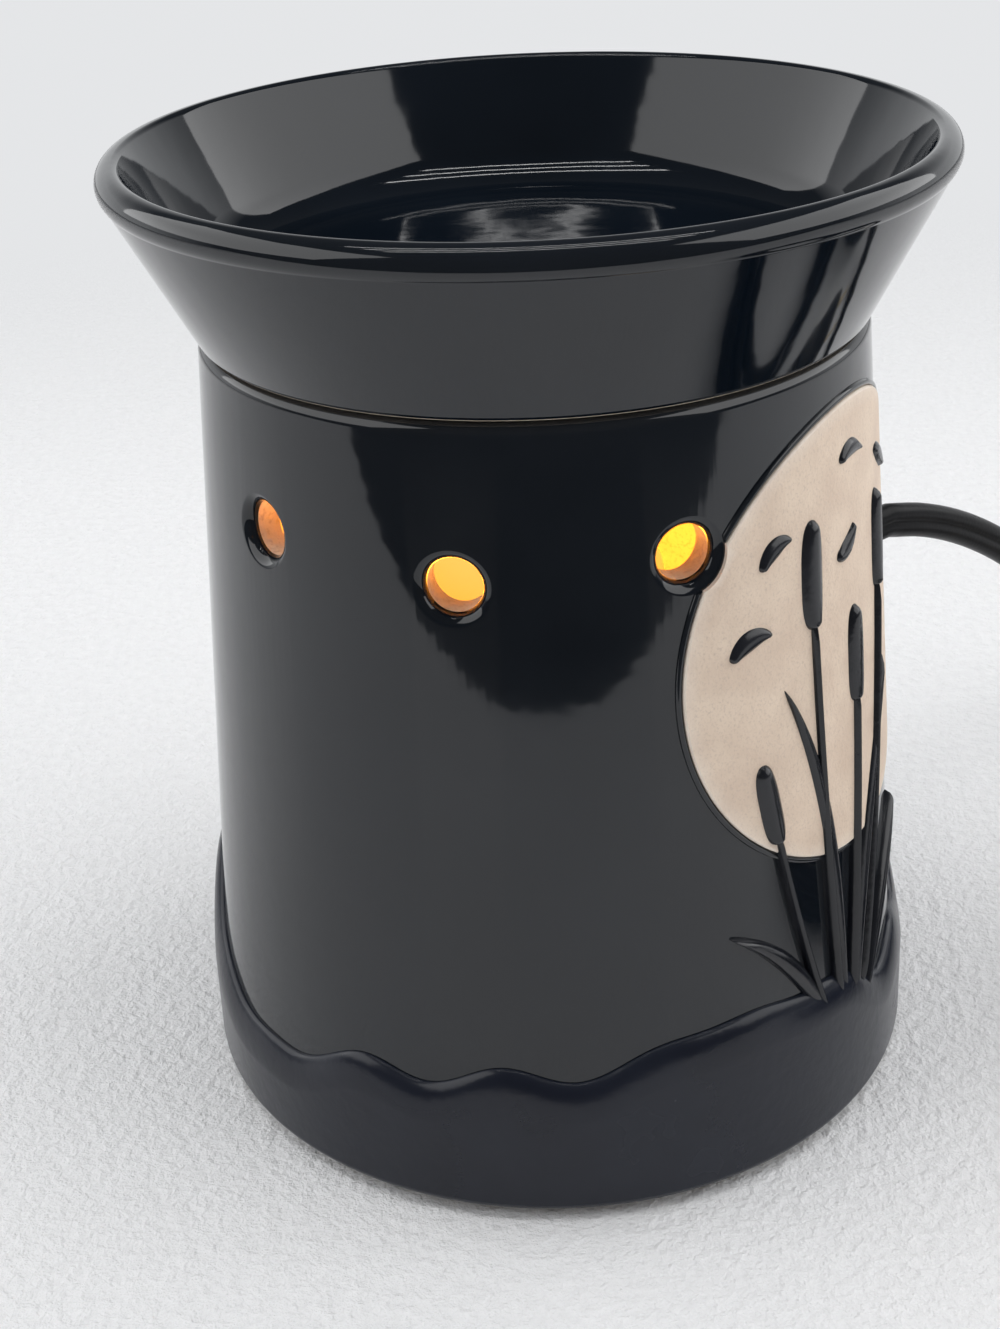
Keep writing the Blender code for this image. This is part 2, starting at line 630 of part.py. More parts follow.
def make_base():
    """The vented plate under the ledge, the bridge above it and the screws that clamp the two."""
    cover = disc("base_plate", PLATE_RADIUS, PLATE_BOTTOM, PLATE_TOP, "steel", LARGE_STEP_COUNT)
    low, high = PLATE_BOTTOM - PLATE_THICKNESS, PLATE_TOP + PLATE_THICKNESS
    for number in range(PLATE_VENTS):
        vent = disc("plate_vent", PLATE_VENT_RADIUS, low, high, "steel")
        angle = TURN * (number + 0.5) / PLATE_VENTS
        vent.location = (PLATE_VENT_CIRCLE * math.cos(angle), PLATE_VENT_CIRCLE * math.sin(angle), 0.0)
        combine(cover, vent, "DIFFERENCE")
    reach = LEDGE_OPENING + BRIDGE_LAP
    outline = rounded_box((-reach, -BRIDGE_WIDTH / 2), (reach, BRIDGE_WIDTH / 2), BRIDGE_WIDTH / 3)
    bridge = plate("socket_bridge", [outline], BRIDGE_THICKNESS, "steel")
    bridge.location.z = (BRIDGE_BOTTOM + BRIDGE_TOP) / 2
    centre_hole = disc("bridge_hole", NIPPLE_RADIUS + GAP, LEDGE_UNDER, HOLDER_TOP, "steel")
    combine(bridge, centre_hole, "DIFFERENCE")
    sizes = (SCREW_RADIUS, SCREW_HEAD_RADIUS, SCREW_HEAD_HEIGHT)
    head_low = PLATE_BOTTOM - GAP - SCREW_HEAD_HEIGHT
    length = BRIDGE_TOP + SCREW_PROUD - PLATE_BOTTOM + GAP
    for number, side in enumerate((-1.0, 1.0)):
        screw = make_screw(f"plate_screw_{number + 1}", "steel", sizes, head_low, length)
        screw.location.x = side * SCREW_CIRCLE
        for target in (cover, bridge):
            hole = disc("screw_hole", SCREW_RADIUS + GAP, 0.0, HOLDER_TOP, "steel")
            hole.location.x = side * SCREW_CIRCLE
            combine(target, hole, "DIFFERENCE")


def make_holder():
    """The lamp holder: an insulating cup on a hollow nipple and nut, with its threaded shell and tongue."""
    profile = [(POCKET_RADIUS, HOLDER_TOP), (HOLDER_RADIUS - GAP, HOLDER_TOP)]
    profile += [(HOLDER_RADIUS, HOLDER_TOP - 2 * GAP), (HOLDER_RADIUS, HOLDER_BOTTOM)]
    bore_top = HOLDER_BOTTOM + NIPPLE_GRIP
    profile += [(NIPPLE_RADIUS + GAP, HOLDER_BOTTOM), (NIPPLE_RADIUS + GAP, bore_top), (0.0, bore_top)]
    step_top = POCKET_BOTTOM + HOLDER_STEP
    pocket = [(0.0, POCKET_BOTTOM), (STEP_RADIUS, POCKET_BOTTOM), (STEP_RADIUS, step_top)]
    holder_profile = pocket + [(POCKET_RADIUS, step_top)] + profile
    holder = turned("socket_body", holder_profile, "holder", MEDIUM_STEP_COUNT, False)
    shell_low, shell_high = step_top + GAP, HOLDER_TOP - SHELL_TOP_DROP
    bore = [(SHELL_BORE, level) for level in reversed(thread_levels(shell_low, shell_high))]
    shell_profile = [(SHELL_OUTER, shell_high), (SHELL_OUTER, shell_low)] + bore
    shell = turned("socket_shell", shell_profile, "brass", MEDIUM_STEP_COUNT)
    make_thread(shell, SHELL_BORE, shell_low, shell_high)
    nut_high = BRIDGE_BOTTOM - GAP
    nut_low = nut_high - NUT_THICKNESS
    hexagon = arc((0.0, 0.0), NUT_RADIUS, 0.0, 300.0, 5)
    ring_end = 360.0 * (1.0 - 1.0 / MEDIUM_STEP_COUNT)
    bore_ring = arc((0.0, 0.0), NIPPLE_RADIUS + GAP, 0.0, ring_end, MEDIUM_STEP_COUNT - 1)
    nut = plate("socket_nut", [hexagon, bore_ring], NUT_THICKNESS, "steel")
    nut.location.z = (nut_low + nut_high) / 2
    pipe_low, pipe_high = nut_low - NIPPLE_PROUD, bore_top - GAP
    outer = [(NIPPLE_RADIUS, pipe_high), (NIPPLE_RADIUS, pipe_low)]
    turned("socket_nipple", outer + [(NIPPLE_BORE, pipe_low), (NIPPLE_BORE, pipe_high)], "steel")
    make_tongue()
    make_terminals(holder)


def make_tongue():
    """The bent spring strip that meets the bulb's centre contact."""
    reach, rise, thick = TONGUE_REACH, TONGUE_RISE, TONGUE_THICKNESS
    under = [(-reach, 0.0), (-reach / 3, 0.0), (-reach / 6, rise), (reach / 3, rise)]
    over = [(x, z + thick) for x, z in under[::-1]]
    tongue = plate("socket_tongue", [under + over], TONGUE_WIDTH, "brass")
    upright = Matrix.Rotation(math.radians(90.0), 4, "X")
    tongue.matrix_world = Matrix.Translation((0.0, 0.0, POCKET_BOTTOM + GAP)) @ upright


def terminal_frames():
    """The outward frames of the two terminals on the holder's side, nearest the lead."""
    height = HOLDER_BOTTOM + TERMINAL_HEIGHT
    return [outward_frame(EXIT_AZIMUTH + side * TERMINAL_SPREAD, height) for side in (-1.0, 1.0)]


def make_terminals(holder):
    """Terminal screws in the holder's side, and the two wires from the lead to their heads."""
    flat = HOLDER_RADIUS + GAP
    tip = HOLDER_RADIUS - TERMINAL_GRIP
    for number, frame in enumerate(terminal_frames()):
        side = (-1.0, 1.0)[number]
        profile = [(0.0, flat + TERMINAL_LENGTH), (TERMINAL_RADIUS, flat + TERMINAL_LENGTH)]
        profile += [(TERMINAL_RADIUS, flat), (TERMINAL_SHANK, flat), (TERMINAL_SHANK, tip), (0.0, tip)]
        screw = turned(f"terminal_screw_{number + 1}", profile, "brass", SMALL_STEP_COUNT, False)
        screw.matrix_world = frame
        hole = disc("terminal_hole", TERMINAL_SHANK + GAP, tip - GAP, flat + GAP, "holder")
        hole.matrix_world = frame
        combine(holder, hole, "DIFFERENCE")
        make_wire(f"lead_wire_{number + 1}", side, frame)


def make_wire(name, side, terminal):
    """One sleeved wire, from the strain relief's inner end down to the head of a terminal screw."""
    relief = outward_frame(EXIT_AZIMUTH, EXIT_HEIGHT)
    start = relief_inner_end() - GAP
    head = HOLDER_RADIUS + GAP + TERMINAL_LENGTH / 2
    landing = TERMINAL_RADIUS + GAP
    drop = EXIT_HEIGHT - HOLDER_BOTTOM - TERMINAL_HEIGHT
    bow = start - head
    route = []
    for fall, inward, spread in WIRE_FALL:
        route.append(relief @ Vector((side * WIRE_SPREAD * spread, -drop * fall, start - bow * inward)))
    for rise, outward in WIRE_LANDING:
        route.append(terminal @ Vector((0.0, landing + drop * rise, head + bow * outward)))
    tube(name, smooth_route(route, 5 * WIRE_RADIUS), WIRE_RADIUS, "wire", 1)


def make_bulb():
    """The small reflector bulb: hollow glass, threaded cap, centre contact, stem and filament."""
    levels = thread_levels(CAP_BOTTOM + THREAD_PITCH / 3, CAP_TOP - THREAD_PITCH / 2)
    wall = [(THREAD_RADIUS, CAP_TOP)] + [(THREAD_RADIUS, level) for level in levels]
    foot = [(INSULATOR_RADIUS + GAP, CAP_BOTTOM), (CONTACT_RADIUS, CAP_BOTTOM)]
    inside = [(CONTACT_RADIUS, CAP_BOTTOM + CAP_WALL), (CAP_BORE - CAP_WALL, CAP_BOTTOM + CAP_WALL)]
    inside += [(CAP_BORE, CAP_BOTTOM + 2 * CAP_WALL), (CAP_BORE, CAP_TOP)]
    cap = turned("bulb_cap", wall + foot + inside, "cap")
    make_thread(cap, THREAD_RADIUS, levels[-1], levels[0])
    tip_top = CONTACT_BOTTOM + CONTACT_HEIGHT
    contact = [(0.0, tip_top + INSULATOR_HEIGHT), (INSULATOR_RADIUS, tip_top + INSULATOR_HEIGHT)]
    contact += [(CONTACT_RADIUS, tip_top), (CONTACT_RADIUS * 0.8, CONTACT_BOTTOM), (0.0, CONTACT_BOTTOM)]
    turned("bulb_contact", contact, "insulator", SMALL_STEP_COUNT, False)
    make_glass()
    make_filament()


def glass_outline(inset):
    """The bulb's outline from crown to neck, set in by a wall: (radius, height) points."""
    shoulder = GLASS_BOTTOM + GLASS_HEIGHT - GLASS_CROWN
    wide = BULB_RADIUS - inset
    crown = []
    for step in range(7):
        angle = math.radians(90.0 - 15.0 * step)
        crown.append((wide * math.cos(angle), shoulder + (GLASS_CROWN - inset) * math.sin(angle)))
    crown[0] = (0.0, crown[0][1])
    root = THREAD_RADIUS - inset
    flare = []
    for step in range(1, 7):
        share = 1.0 - step / 6
        height = GLASS_BOTTOM + (shoulder - GLASS_BOTTOM) * share
        flare.append((root + (wide - root) * math.sin(share * math.pi / 2) ** GLASS_FLARE, height))
    return crown + flare


def make_glass():
    """The hollow reflector glass, open at the end of its neck inside the cap."""
    neck_low = GLASS_BOTTOM - NECK_DEPTH
    neck_inner = GLASS_NECK - GLASS_WALL
    outer = glass_outline(0.0) + [(GLASS_NECK, GLASS_BOTTOM), (GLASS_NECK, neck_low)]
    inner = [(neck_inner, neck_low), (neck_inner, GLASS_BOTTOM + GLASS_WALL)]
    inner += glass_outline(GLASS_WALL)[-2::-1]
    turned("bulb_glass", outer + inner, "glass", MEDIUM_STEP_COUNT, False)


def make_filament():
    """The stem in the neck and the filament wire on its top."""
    low = GLASS_BOTTOM - NECK_DEPTH
    high = low + STEM_HEIGHT
    foot = GLASS_NECK - GLASS_WALL - GAP
    profile = [(0.0, high), (STEM_TOP_RADIUS, high), (STEM_TOP_RADIUS, low + NECK_DEPTH)]
    profile += [(foot, low + NECK_DEPTH / 4), (foot, low), (0.0, low)]
    turned("bulb_stem", profile, "glass", SMALL_STEP_COUNT, False)
    root = STEM_TOP_RADIUS / 2
    seat = high + GAP
    arch = [(-root, seat), (-root, seat + FILAMENT_RISE / 3), (-FILAMENT_SPAN / 2, seat + FILAMENT_RISE)]
    arch += [(-FILAMENT_SPAN / 4, seat + FILAMENT_RISE * 1.2), (0.0, seat + FILAMENT_RISE * 1.25)]
    arch += [(-x, z) for x, z in arch[-2::-1]]
    tube("bulb_filament", [Vector((x, 0.0, z)) for x, z in arch], FILAMENT_RADIUS, "filament", 1)


def relief_faces():
    """Where the relief's flanges meet the wall outside and inside, as radii along its axis."""
    slope = (BASE_RADIUS - SHOULDER_RADIUS) / BODY_HEIGHT
    outside = wall_radius(EXIT_HEIGHT) + slope * RELIEF_FLANGE + GAP
    inner_wall = wall_radius(EXIT_HEIGHT) - BODY_WALL
    bulge = inner_wall - math.sqrt(inner_wall**2 - RELIEF_FLANGE**2)
    inside = inner_wall - bulge - slope * RELIEF_FLANGE - GAP
    return outside, inside


def relief_inner_end():
    """The radius of the strain relief's end inside the body."""
    return relief_faces()[1] - RELIEF_INNER


def make_relief():
    """The tapered strain relief through the wall, flanged on both sides of it."""
    outside, inside = relief_faces()
    shoulder = outside + RELIEF_FLANGE_THICKNESS
    tip = outside + RELIEF_LENGTH
    profile = [(0.0, tip), (RELIEF_TIP - GAP, tip), (RELIEF_TIP, tip - GAP)]
    profile += [(RELIEF_NECK + 2 * GAP, shoulder + GAP), (RELIEF_FLANGE - GAP, shoulder)]
    profile += [(RELIEF_FLANGE, shoulder - GAP), (RELIEF_FLANGE, outside), (RELIEF_NECK, outside)]
    profile += [(RELIEF_NECK, inside), (RELIEF_FLANGE, inside)]
    profile += [(RELIEF_FLANGE, relief_inner_end()), (0.0, relief_inner_end())]
    relief = turned("cord_relief", profile, "cord", SMALL_STEP_COUNT, False)
    relief.matrix_world = outward_frame(EXIT_AZIMUTH, EXIT_HEIGHT)
    return tip


def make_lead(tip):
    """The free lead from the strain relief's tip, down to the floor and round to the switch."""
    frame = outward_frame(EXIT_AZIMUTH, EXIT_HEIGHT)
    switch_end = SWITCH_Y + SWITCH_LENGTH / 2 + GAP
    route = [frame @ Vector((0.0, 0.0, tip + GAP + CORD_DIAMETER))]
    route += [Vector(point) * MM for point in LEAD_ROUTE]
    route += [Vector((SWITCH_X, switch_end + CORD_DIAMETER, SWITCH_AXIS))]
    first = frame @ Vector((0.0, 0.0, tip + GAP))
    last = Vector((SWITCH_X, switch_end, SWITCH_AXIS))
    points = [first, *smooth_route(route, 2 * CORD_DIAMETER), last]
    tube("cord_lead", points, CORD_DIAMETER / 2, "cord", 2)


def switch_outline():
    """The switch's plan: straight sides that narrow to the lead at both ends."""
    half, end, wide = SWITCH_LENGTH / 2, SWITCH_END_WIDTH / 2, SWITCH_WIDTH / 2
    right = []
    for step in range(9):
        share = step / 8
        width = end + (wide - end) * math.sin(math.pi * min(share, 1.0 - share)) ** 0.6
        right.append((width, half - SWITCH_LENGTH * share))
    return right + [(-x, y) for x, y in right[::-1]]


def make_switch():
    """The lead's switch: two housing halves, a thumbwheel between them, contacts and screws."""
    centre = Vector((SWITCH_X, SWITCH_Y, 0.0))
    depth = SWITCH_AXIS - GAP / 2
    pocket_half = WHEEL_THICKNESS / 2 + WHEEL_CLEARANCE
    contact_y = WHEEL_RADIUS + WHEEL_CLEARANCE + GAP + SWITCH_CONTACT_LENGTH / 2
    halves = []
    for name, middle in (("switch_base", depth / 2), ("switch_cover", SWITCH_HEIGHT - depth / 2)):
        half = plate(name, [switch_outline()], depth, "switch")
        half.location = centre + Vector((0.0, 0.0, middle))
        round_edges(half, SWITCH_ROUND)
        pocket = disc("wheel_pocket", WHEEL_RADIUS + WHEEL_CLEARANCE, -pocket_half, pocket_half, "switch")
        axle = pocket_half + AXLE_LENGTH
        bearing = disc("wheel_bearing", AXLE_RADIUS + GAP, -axle, axle, "switch")
        for tool in (pocket, bearing):
            tool.location = centre + Vector((0.0, 0.0, SWITCH_AXIS))
            combine(half, tool, "DIFFERENCE")
        halves.append(half)
    contact_size = (SWITCH_CONTACT_WIDTH, SWITCH_CONTACT_LENGTH, SWITCH_CONTACT_THICKNESS)
    contact_low = SWITCH_AXIS - pocket_half + GAP
    for number, side in enumerate((-1.0, 1.0)):
        place = centre + Vector((0.0, side * contact_y, contact_low + SWITCH_CONTACT_THICKNESS / 2))
        block(f"switch_contact_{number + 1}", contact_size, place, "brass")
        for half in halves:
            room = (SWITCH_CONTACT_WIDTH + 2 * GAP, SWITCH_CONTACT_LENGTH + 4 * GAP, 2 * pocket_half)
            nest_place = centre + Vector((0.0, side * contact_y, SWITCH_AXIS))
            nest = block("contact_nest", room, nest_place, "switch")
            combine(half, nest, "DIFFERENCE")
        make_switch_screw(number, side, centre, halves)
    make_wheel(centre + Vector((0.0, 0.0, SWITCH_AXIS)))


def make_switch_screw(number, side, centre, halves):
    """One screw that holds the switch's halves together, sunk in the lower one."""
    sizes = (SWITCH_SCREW_RADIUS, SWITCH_SCREW_HEAD, SWITCH_SCREW_HEAD_HEIGHT)
    low = 2 * GAP
    length = SWITCH_HEIGHT * SWITCH_SCREW_SHARE
    place = centre + Vector((side * SWITCH_SCREW_X, side * SWITCH_SCREW_Y, 0.0))
    screw = make_screw(f"switch_screw_{number + 1}", "steel", sizes, low, length)
    screw.location = place
    top = low + SWITCH_SCREW_HEAD_HEIGHT + length + GAP
    sink_top = low + SWITCH_SCREW_HEAD_HEIGHT + GAP
    sink = disc("switch_screw_sink", SWITCH_SCREW_HEAD + GAP, -GAP, sink_top, "switch")
    sink.location = place
    combine(halves[0], sink, "DIFFERENCE")
    for half in halves:
        hole = disc("switch_screw_hole", SWITCH_SCREW_RADIUS + GAP, -GAP, top, "switch")
        hole.location = place
        combine(half, hole, "DIFFERENCE")


def make_wheel(centre):
    """The ribbed thumbwheel on its stub axles."""
    half = WHEEL_THICKNESS / 2
    axle = half + AXLE_LENGTH
    profile = [(0.0, axle), (AXLE_RADIUS, axle), (AXLE_RADIUS, half), (WHEEL_RADIUS, half)]
    profile += [(WHEEL_RADIUS, -half), (AXLE_RADIUS, -half), (AXLE_RADIUS, -axle), (0.0, -axle)]
    wheel = turned("switch_wheel", profile, "switch", 2 * WHEEL_TEETH, False)
    for vertex in wheel.data.vertices:
        x, y, z = vertex.co
        if math.hypot(x, y) > WHEEL_RADIUS - MERGE:
            place = round(math.atan2(y, x) / TURN * 2 * WHEEL_TEETH)
            if place % 2:
                shrink = 1.0 - WHEEL_TOOTH / WHEEL_RADIUS
                vertex.co = (x * shrink, y * shrink, z)
    wheel.location = centre


def coil_point(turn):
    """The coil's centreline after some turns: it spirals in, climbs a layer and spirals out again."""
    middle = COIL_TURNS / 2
    away = turn - middle
    radius = COIL_INNER + COIL_STEP * abs(away)
    height = COIL_BOTTOM + COIL_STEP * ease(away * 2 + 0.5)
    angle = -TURN * turn
    return Vector((COIL_X + radius * math.cos(angle), COIL_Y + radius * math.sin(angle), height))


def coil_route():
    """The coil's centreline with its straight ends: the first meets the lead, the last the plug."""
    count = round(COIL_TURNS * COIL_POINT_COUNT)
    turns = [coil_point(COIL_TURNS * step / count) for step in range(count + 1)]
    start = turns[0] + Vector((0.0, CORD_DIAMETER, 0.0))
    end_angle = -TURN * COIL_TURNS
    onward = Vector((math.sin(end_angle), -math.cos(end_angle), 0.0))
    leaving = []
    for step in range(1, 5):
        place = turns[-1] + onward * COIL_LEAD_OUT * step / 4
        place.z += (PLUG_AXIS - turns[-1].z) * ease(step / 4)
        leaving.append(place)
    end = leaving[-1] + onward * CORD_DIAMETER
    return [start, *turns, *leaving, end], onward


def least_self_gap(points):
    """The least distance between the tube's own turns, measured on its points."""
    apart = COIL_POINT_COUNT // 2
    nearest = min(
        (points[i] - points[j]).length for i in range(len(points)) for j in range(i + apart, len(points))
    )
    return nearest - CORD_DIAMETER


def make_coil():
    """The put-away length of the lead in its loops, the short run from the switch to it, and its tie."""
    points, onward = coil_route()
    tube("cord_coil", points, CORD_DIAMETER / 2, "cord", 1)
    print(f"cord_coil least gap to itself: {least_self_gap(points) / MM:.2f} mm")
    switch_end = SWITCH_Y - SWITCH_LENGTH / 2 - GAP
    meet = points[0] + Vector((0.0, GAP, 0.0))
    high, low = Vector((SWITCH_X, switch_end, SWITCH_AXIS)), meet
    run = [high]
    for step in range(7):
        share = TAIL_STRAIGHT + (1.0 - 2 * TAIL_STRAIGHT) * step / 6
        place = high.lerp(low, share)
        place.z = high.z + (low.z - high.z) * ease(step / 6)
        run.append(place)
    run.append(low)
    tube("cord_tail", run, CORD_DIAMETER / 2, "cord", 2)
    make_tie()
    return points[-1] + onward * GAP, onward


def make_tie():
    """The strap round the coil's bundle of turns."""
    passes = [TIE_TURN + count for count in range(math.floor(COIL_TURNS - TIE_TURN) + 1)]
    radii = [COIL_INNER + COIL_STEP * abs(turn - COIL_TURNS / 2) for turn in passes]
    drift = COIL_STEP * TIE_WIDTH / 2 / (TURN * COIL_INNER)
    bow = (TIE_WIDTH / 2) ** 2 / (2 * COIL_INNER)
    spare = CORD_DIAMETER / 2 + GAP
    low = (min(radii) - spare - drift - bow, COIL_BOTTOM - spare)
    high = (max(radii) + spare + drift, COIL_BOTTOM + COIL_STEP + spare)
    inner = rounded_box(low, high, CORD_DIAMETER / 4)
    grown_low = (low[0] - TIE_THICKNESS, low[1] - TIE_THICKNESS)
    grown_high = (high[0] + TIE_THICKNESS, high[1] + TIE_THICKNESS)
    outer = rounded_box(grown_low, grown_high, CORD_DIAMETER / 4 + TIE_THICKNESS)
    tie = plate("cord_tie", [outer, inner], TIE_WIDTH, "tie")
    upright = Matrix.Rotation(math.radians(90.0), 4, "X")
    turned_round = Matrix.Rotation(-TURN * TIE_TURN, 4, "Z")
    tie.matrix_world = Matrix.Translation((COIL_X, COIL_Y, 0.0)) @ turned_round @ upright


def make_plug(start, onward):
    """The two-pin plug on the lead's end, lying on the floor beside the coil."""
    side = onward.cross(Vector((0.0, 0.0, 1.0)))
    axes = Matrix((side, onward, Vector((0.0, 0.0, 1.0)))).transposed().to_4x4()
    frame = Matrix.Translation(start) @ axes
    rear = PLUG_RELIEF_LENGTH
    front = rear + PLUG_LENGTH
    body = block("plug_body", (PLUG_WIDTH, PLUG_LENGTH, PLUG_HEIGHT), (0.0, 0.0, 0.0), "cord")
    for vertex in body.data.vertices:
        if vertex.co.y < 0.0:
            vertex.co.x *= PLUG_TAPER
            vertex.co.z *= PLUG_TAPER
    round_edges(body, PLUG_ROUND, 3)
    body.matrix_world = frame @ Matrix.Translation((0.0, rear + PLUG_LENGTH / 2, 0.0))
    cone = [(0.0, rear + PLUG_ROUND), (PLUG_RELIEF_ROOT, rear + PLUG_ROUND), (RELIEF_TIP, 0.0), (0.0, 0.0)]
    relief = turned("plug_relief", cone, "cord", SMALL_STEP_COUNT, False)
    relief.matrix_world = frame @ Matrix.Rotation(math.radians(-90.0), 4, "X")
    combine(body, relief, "UNION")
    for number, place in enumerate((-1.0, 1.0)):
        middle = front + (BLADE_LENGTH - BLADE_ROOT) / 2
        size = (BLADE_THICKNESS, BLADE_LENGTH + BLADE_ROOT, BLADE_WIDTH)
        blade = block(f"plug_blade_{number + 1}", size, (0.0, 0.0, 0.0), "brass")
        at = Matrix.Translation((place * BLADE_SPACING / 2, middle, 0.0))
        blade.matrix_world = frame @ at
        hole = disc("blade_hole", BLADE_HOLE, -BLADE_WIDTH, BLADE_WIDTH, "brass")
        across = Matrix.Rotation(math.radians(90.0), 4, "Y")
        tip = Matrix.Translation((place * BLADE_SPACING / 2, front + BLADE_LENGTH - BLADE_HOLE_INSET, 0.0))
        hole.matrix_world = frame @ tip @ across
        combine(blade, hole, "DIFFERENCE")
        slot_size = (BLADE_THICKNESS + 2 * GAP, BLADE_LENGTH + BLADE_ROOT + 2 * GAP, BLADE_WIDTH + 2 * GAP)
        slot = block("blade_slot", slot_size, (0.0, 0.0, 0.0), "cord")
        slot.matrix_world = frame @ at
        combine(body, slot, "DIFFERENCE")


make_body()
make_dish()
make_pads()
make_base()
make_holder()
make_bulb()
make_lead(make_relief())
make_switch()
make_plug(*make_coil())
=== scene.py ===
"""Looks of an electric wax warmer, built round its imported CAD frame.

Metres, +Z up. The origin is on the floor under the middle of the ceramic body, and the camera stands on
the -Y side. An azimuth is an angle round +Z from the -Y side, in degrees, growing towards +X.
"""

from __future__ import annotations

import functools
import json
import logging
import math
from collections.abc import Callable, Iterable, Sequence
from dataclasses import dataclass
from enum import Enum

import bmesh
import bpy
from bmesh.types import BMesh
from mathutils import Matrix, Vector

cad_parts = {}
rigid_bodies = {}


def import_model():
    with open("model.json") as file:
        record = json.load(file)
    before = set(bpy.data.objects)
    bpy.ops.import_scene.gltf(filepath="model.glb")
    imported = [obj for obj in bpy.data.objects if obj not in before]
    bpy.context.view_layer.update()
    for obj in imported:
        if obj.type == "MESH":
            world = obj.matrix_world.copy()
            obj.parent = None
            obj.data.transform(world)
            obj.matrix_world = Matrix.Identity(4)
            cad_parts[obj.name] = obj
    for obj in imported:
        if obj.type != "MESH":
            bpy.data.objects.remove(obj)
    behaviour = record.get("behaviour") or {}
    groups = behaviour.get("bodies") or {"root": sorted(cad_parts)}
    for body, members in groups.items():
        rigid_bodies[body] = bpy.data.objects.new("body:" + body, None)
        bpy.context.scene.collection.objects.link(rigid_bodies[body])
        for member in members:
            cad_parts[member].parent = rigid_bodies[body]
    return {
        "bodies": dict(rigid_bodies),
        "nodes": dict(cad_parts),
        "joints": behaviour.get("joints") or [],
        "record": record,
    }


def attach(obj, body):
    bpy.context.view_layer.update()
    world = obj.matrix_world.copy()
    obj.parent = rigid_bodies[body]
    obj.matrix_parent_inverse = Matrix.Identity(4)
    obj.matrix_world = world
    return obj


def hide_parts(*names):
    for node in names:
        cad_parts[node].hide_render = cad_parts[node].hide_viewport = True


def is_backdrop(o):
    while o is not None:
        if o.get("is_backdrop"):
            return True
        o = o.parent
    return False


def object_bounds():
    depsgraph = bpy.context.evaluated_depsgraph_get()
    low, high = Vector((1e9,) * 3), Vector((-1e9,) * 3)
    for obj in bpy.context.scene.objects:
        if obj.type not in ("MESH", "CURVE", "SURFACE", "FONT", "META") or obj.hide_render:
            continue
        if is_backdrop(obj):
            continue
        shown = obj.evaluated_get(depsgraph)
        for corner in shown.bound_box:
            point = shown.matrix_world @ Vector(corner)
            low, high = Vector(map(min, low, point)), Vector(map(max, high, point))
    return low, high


LOG = logging.getLogger("wax_warmer")
MM = 0.001
TURN = 2.0 * math.pi
MERGE = 0.000002
CUT_MERGE = 0.00003
GAP = 0.3 * MM
SIDES = ((1, -1.0), (2, 1.0))

Colour = tuple[float, float, float]
Point2 = tuple[float, float]
Corner = tuple[float, float, float]
Station = tuple[float, float, float, float]
Node = bpy.types.Node
Socket = bpy.types.NodeSocket


class Body(Enum):
    """The CAD bodies that pieces ride on."""

    ROOT = "root"
    DISH = "dish"
    BULB_LIFT = "bulb_lift"
    BULB = "bulb"
    WHEEL = "thumbwheel"


class Slot(Enum):
    """The record's material slots."""

    BODY_GLAZE = "body_glaze"
    DISH_GLAZE = "dish_glaze"
    BULB_GLASS = "bulb_glass"
    CAP_METAL = "cap_metal"
    CAP_INSULATOR = "cap_insulator"
    HOLDER = "holder_plastic"
    BRASS = "brass"
    ZINC = "zinc_steel"
    PLATE = "plate_steel"
    PAD = "pad_rubber"
    SLEEVE = "wire_sleeve"
    CORD = "cord_vinyl"
    TIE = "tie_strap"
    SWITCH = "switch_plastic"
    WHEEL = "wheel_plastic"
    PLUG = "plug_vinyl"


class Taper(Enum):
    """How the width of a raised stroke runs from its start to its end."""

    STEM = "stem"
    LEAF = "leaf"
    HEAD = "head"


# Shapes


def arc(centre: Point2, radius: float, start: float, end: float, count: int) -> list[Point2]:
    """Points on an arc.

    Args:
        centre: The arc's middle.
        radius: Its radius.
        start: The angle of its first point, in degrees.
        end: The angle of its last point, in degrees.
        count: The number of steps between them.

    Returns:
        The points from start to end.
    """
    angles = [math.radians(start + (end - start) * step / count) for step in range(count + 1)]
    return [(centre[0] + radius * math.cos(a), centre[1] + radius * math.sin(a)) for a in angles]


def filleted(corners: Sequence[Corner], closed: bool = False, steps: int = 6) -> list[Point2]:
    """An outline with rounded corners.

    Args:
        corners: Each corner's two coordinates and the radius that rounds it.
        closed: Whether the outline returns to its first corner.
        steps: The number of steps round each corner.

    Returns:
        The outline's points.
    """
    points: list[Point2] = []
    for place, (x, y, radius) in enumerate(corners):
        if radius <= 0.0 or not (closed or 0 < place < len(corners) - 1):
            points.append((x, y))
            continue
        here = Vector((x, y))
        back = Vector(corners[place - 1][:2]) - here
        ahead = Vector(corners[(place + 1) % len(corners)][:2]) - here
        half = back.angle(ahead) / 2
        reach = min(radius / math.tan(half), 0.49 * back.length, 0.49 * ahead.length)
        fitted = reach * math.tan(half)
        middle = here + (back.normalized() + ahead.normalized()).normalized() * fitted / math.sin(half)
        first = here + back.normalized() * reach - middle
        last = here + ahead.normalized() * reach - middle
        begin = math.atan2(first.y, first.x)
        sweep = (math.atan2(last.y, last.x) - begin + math.pi) % TURN - math.pi
        degrees = math.degrees(begin)
        points += arc((middle.x, middle.y), fitted, degrees, degrees + math.degrees(sweep), steps)
    return points


def close_up(shape: BMesh) -> None:
    """Merge a shape's doubles, drop its empty faces and turn the rest outwards.

    Args:
        shape: The shape to change.
    """
    bmesh.ops.remove_doubles(shape, verts=shape.verts, dist=MERGE)
    bmesh.ops.dissolve_degenerate(shape, edges=shape.edges, dist=MERGE)
    bmesh.ops.recalc_face_normals(shape, faces=shape.faces)


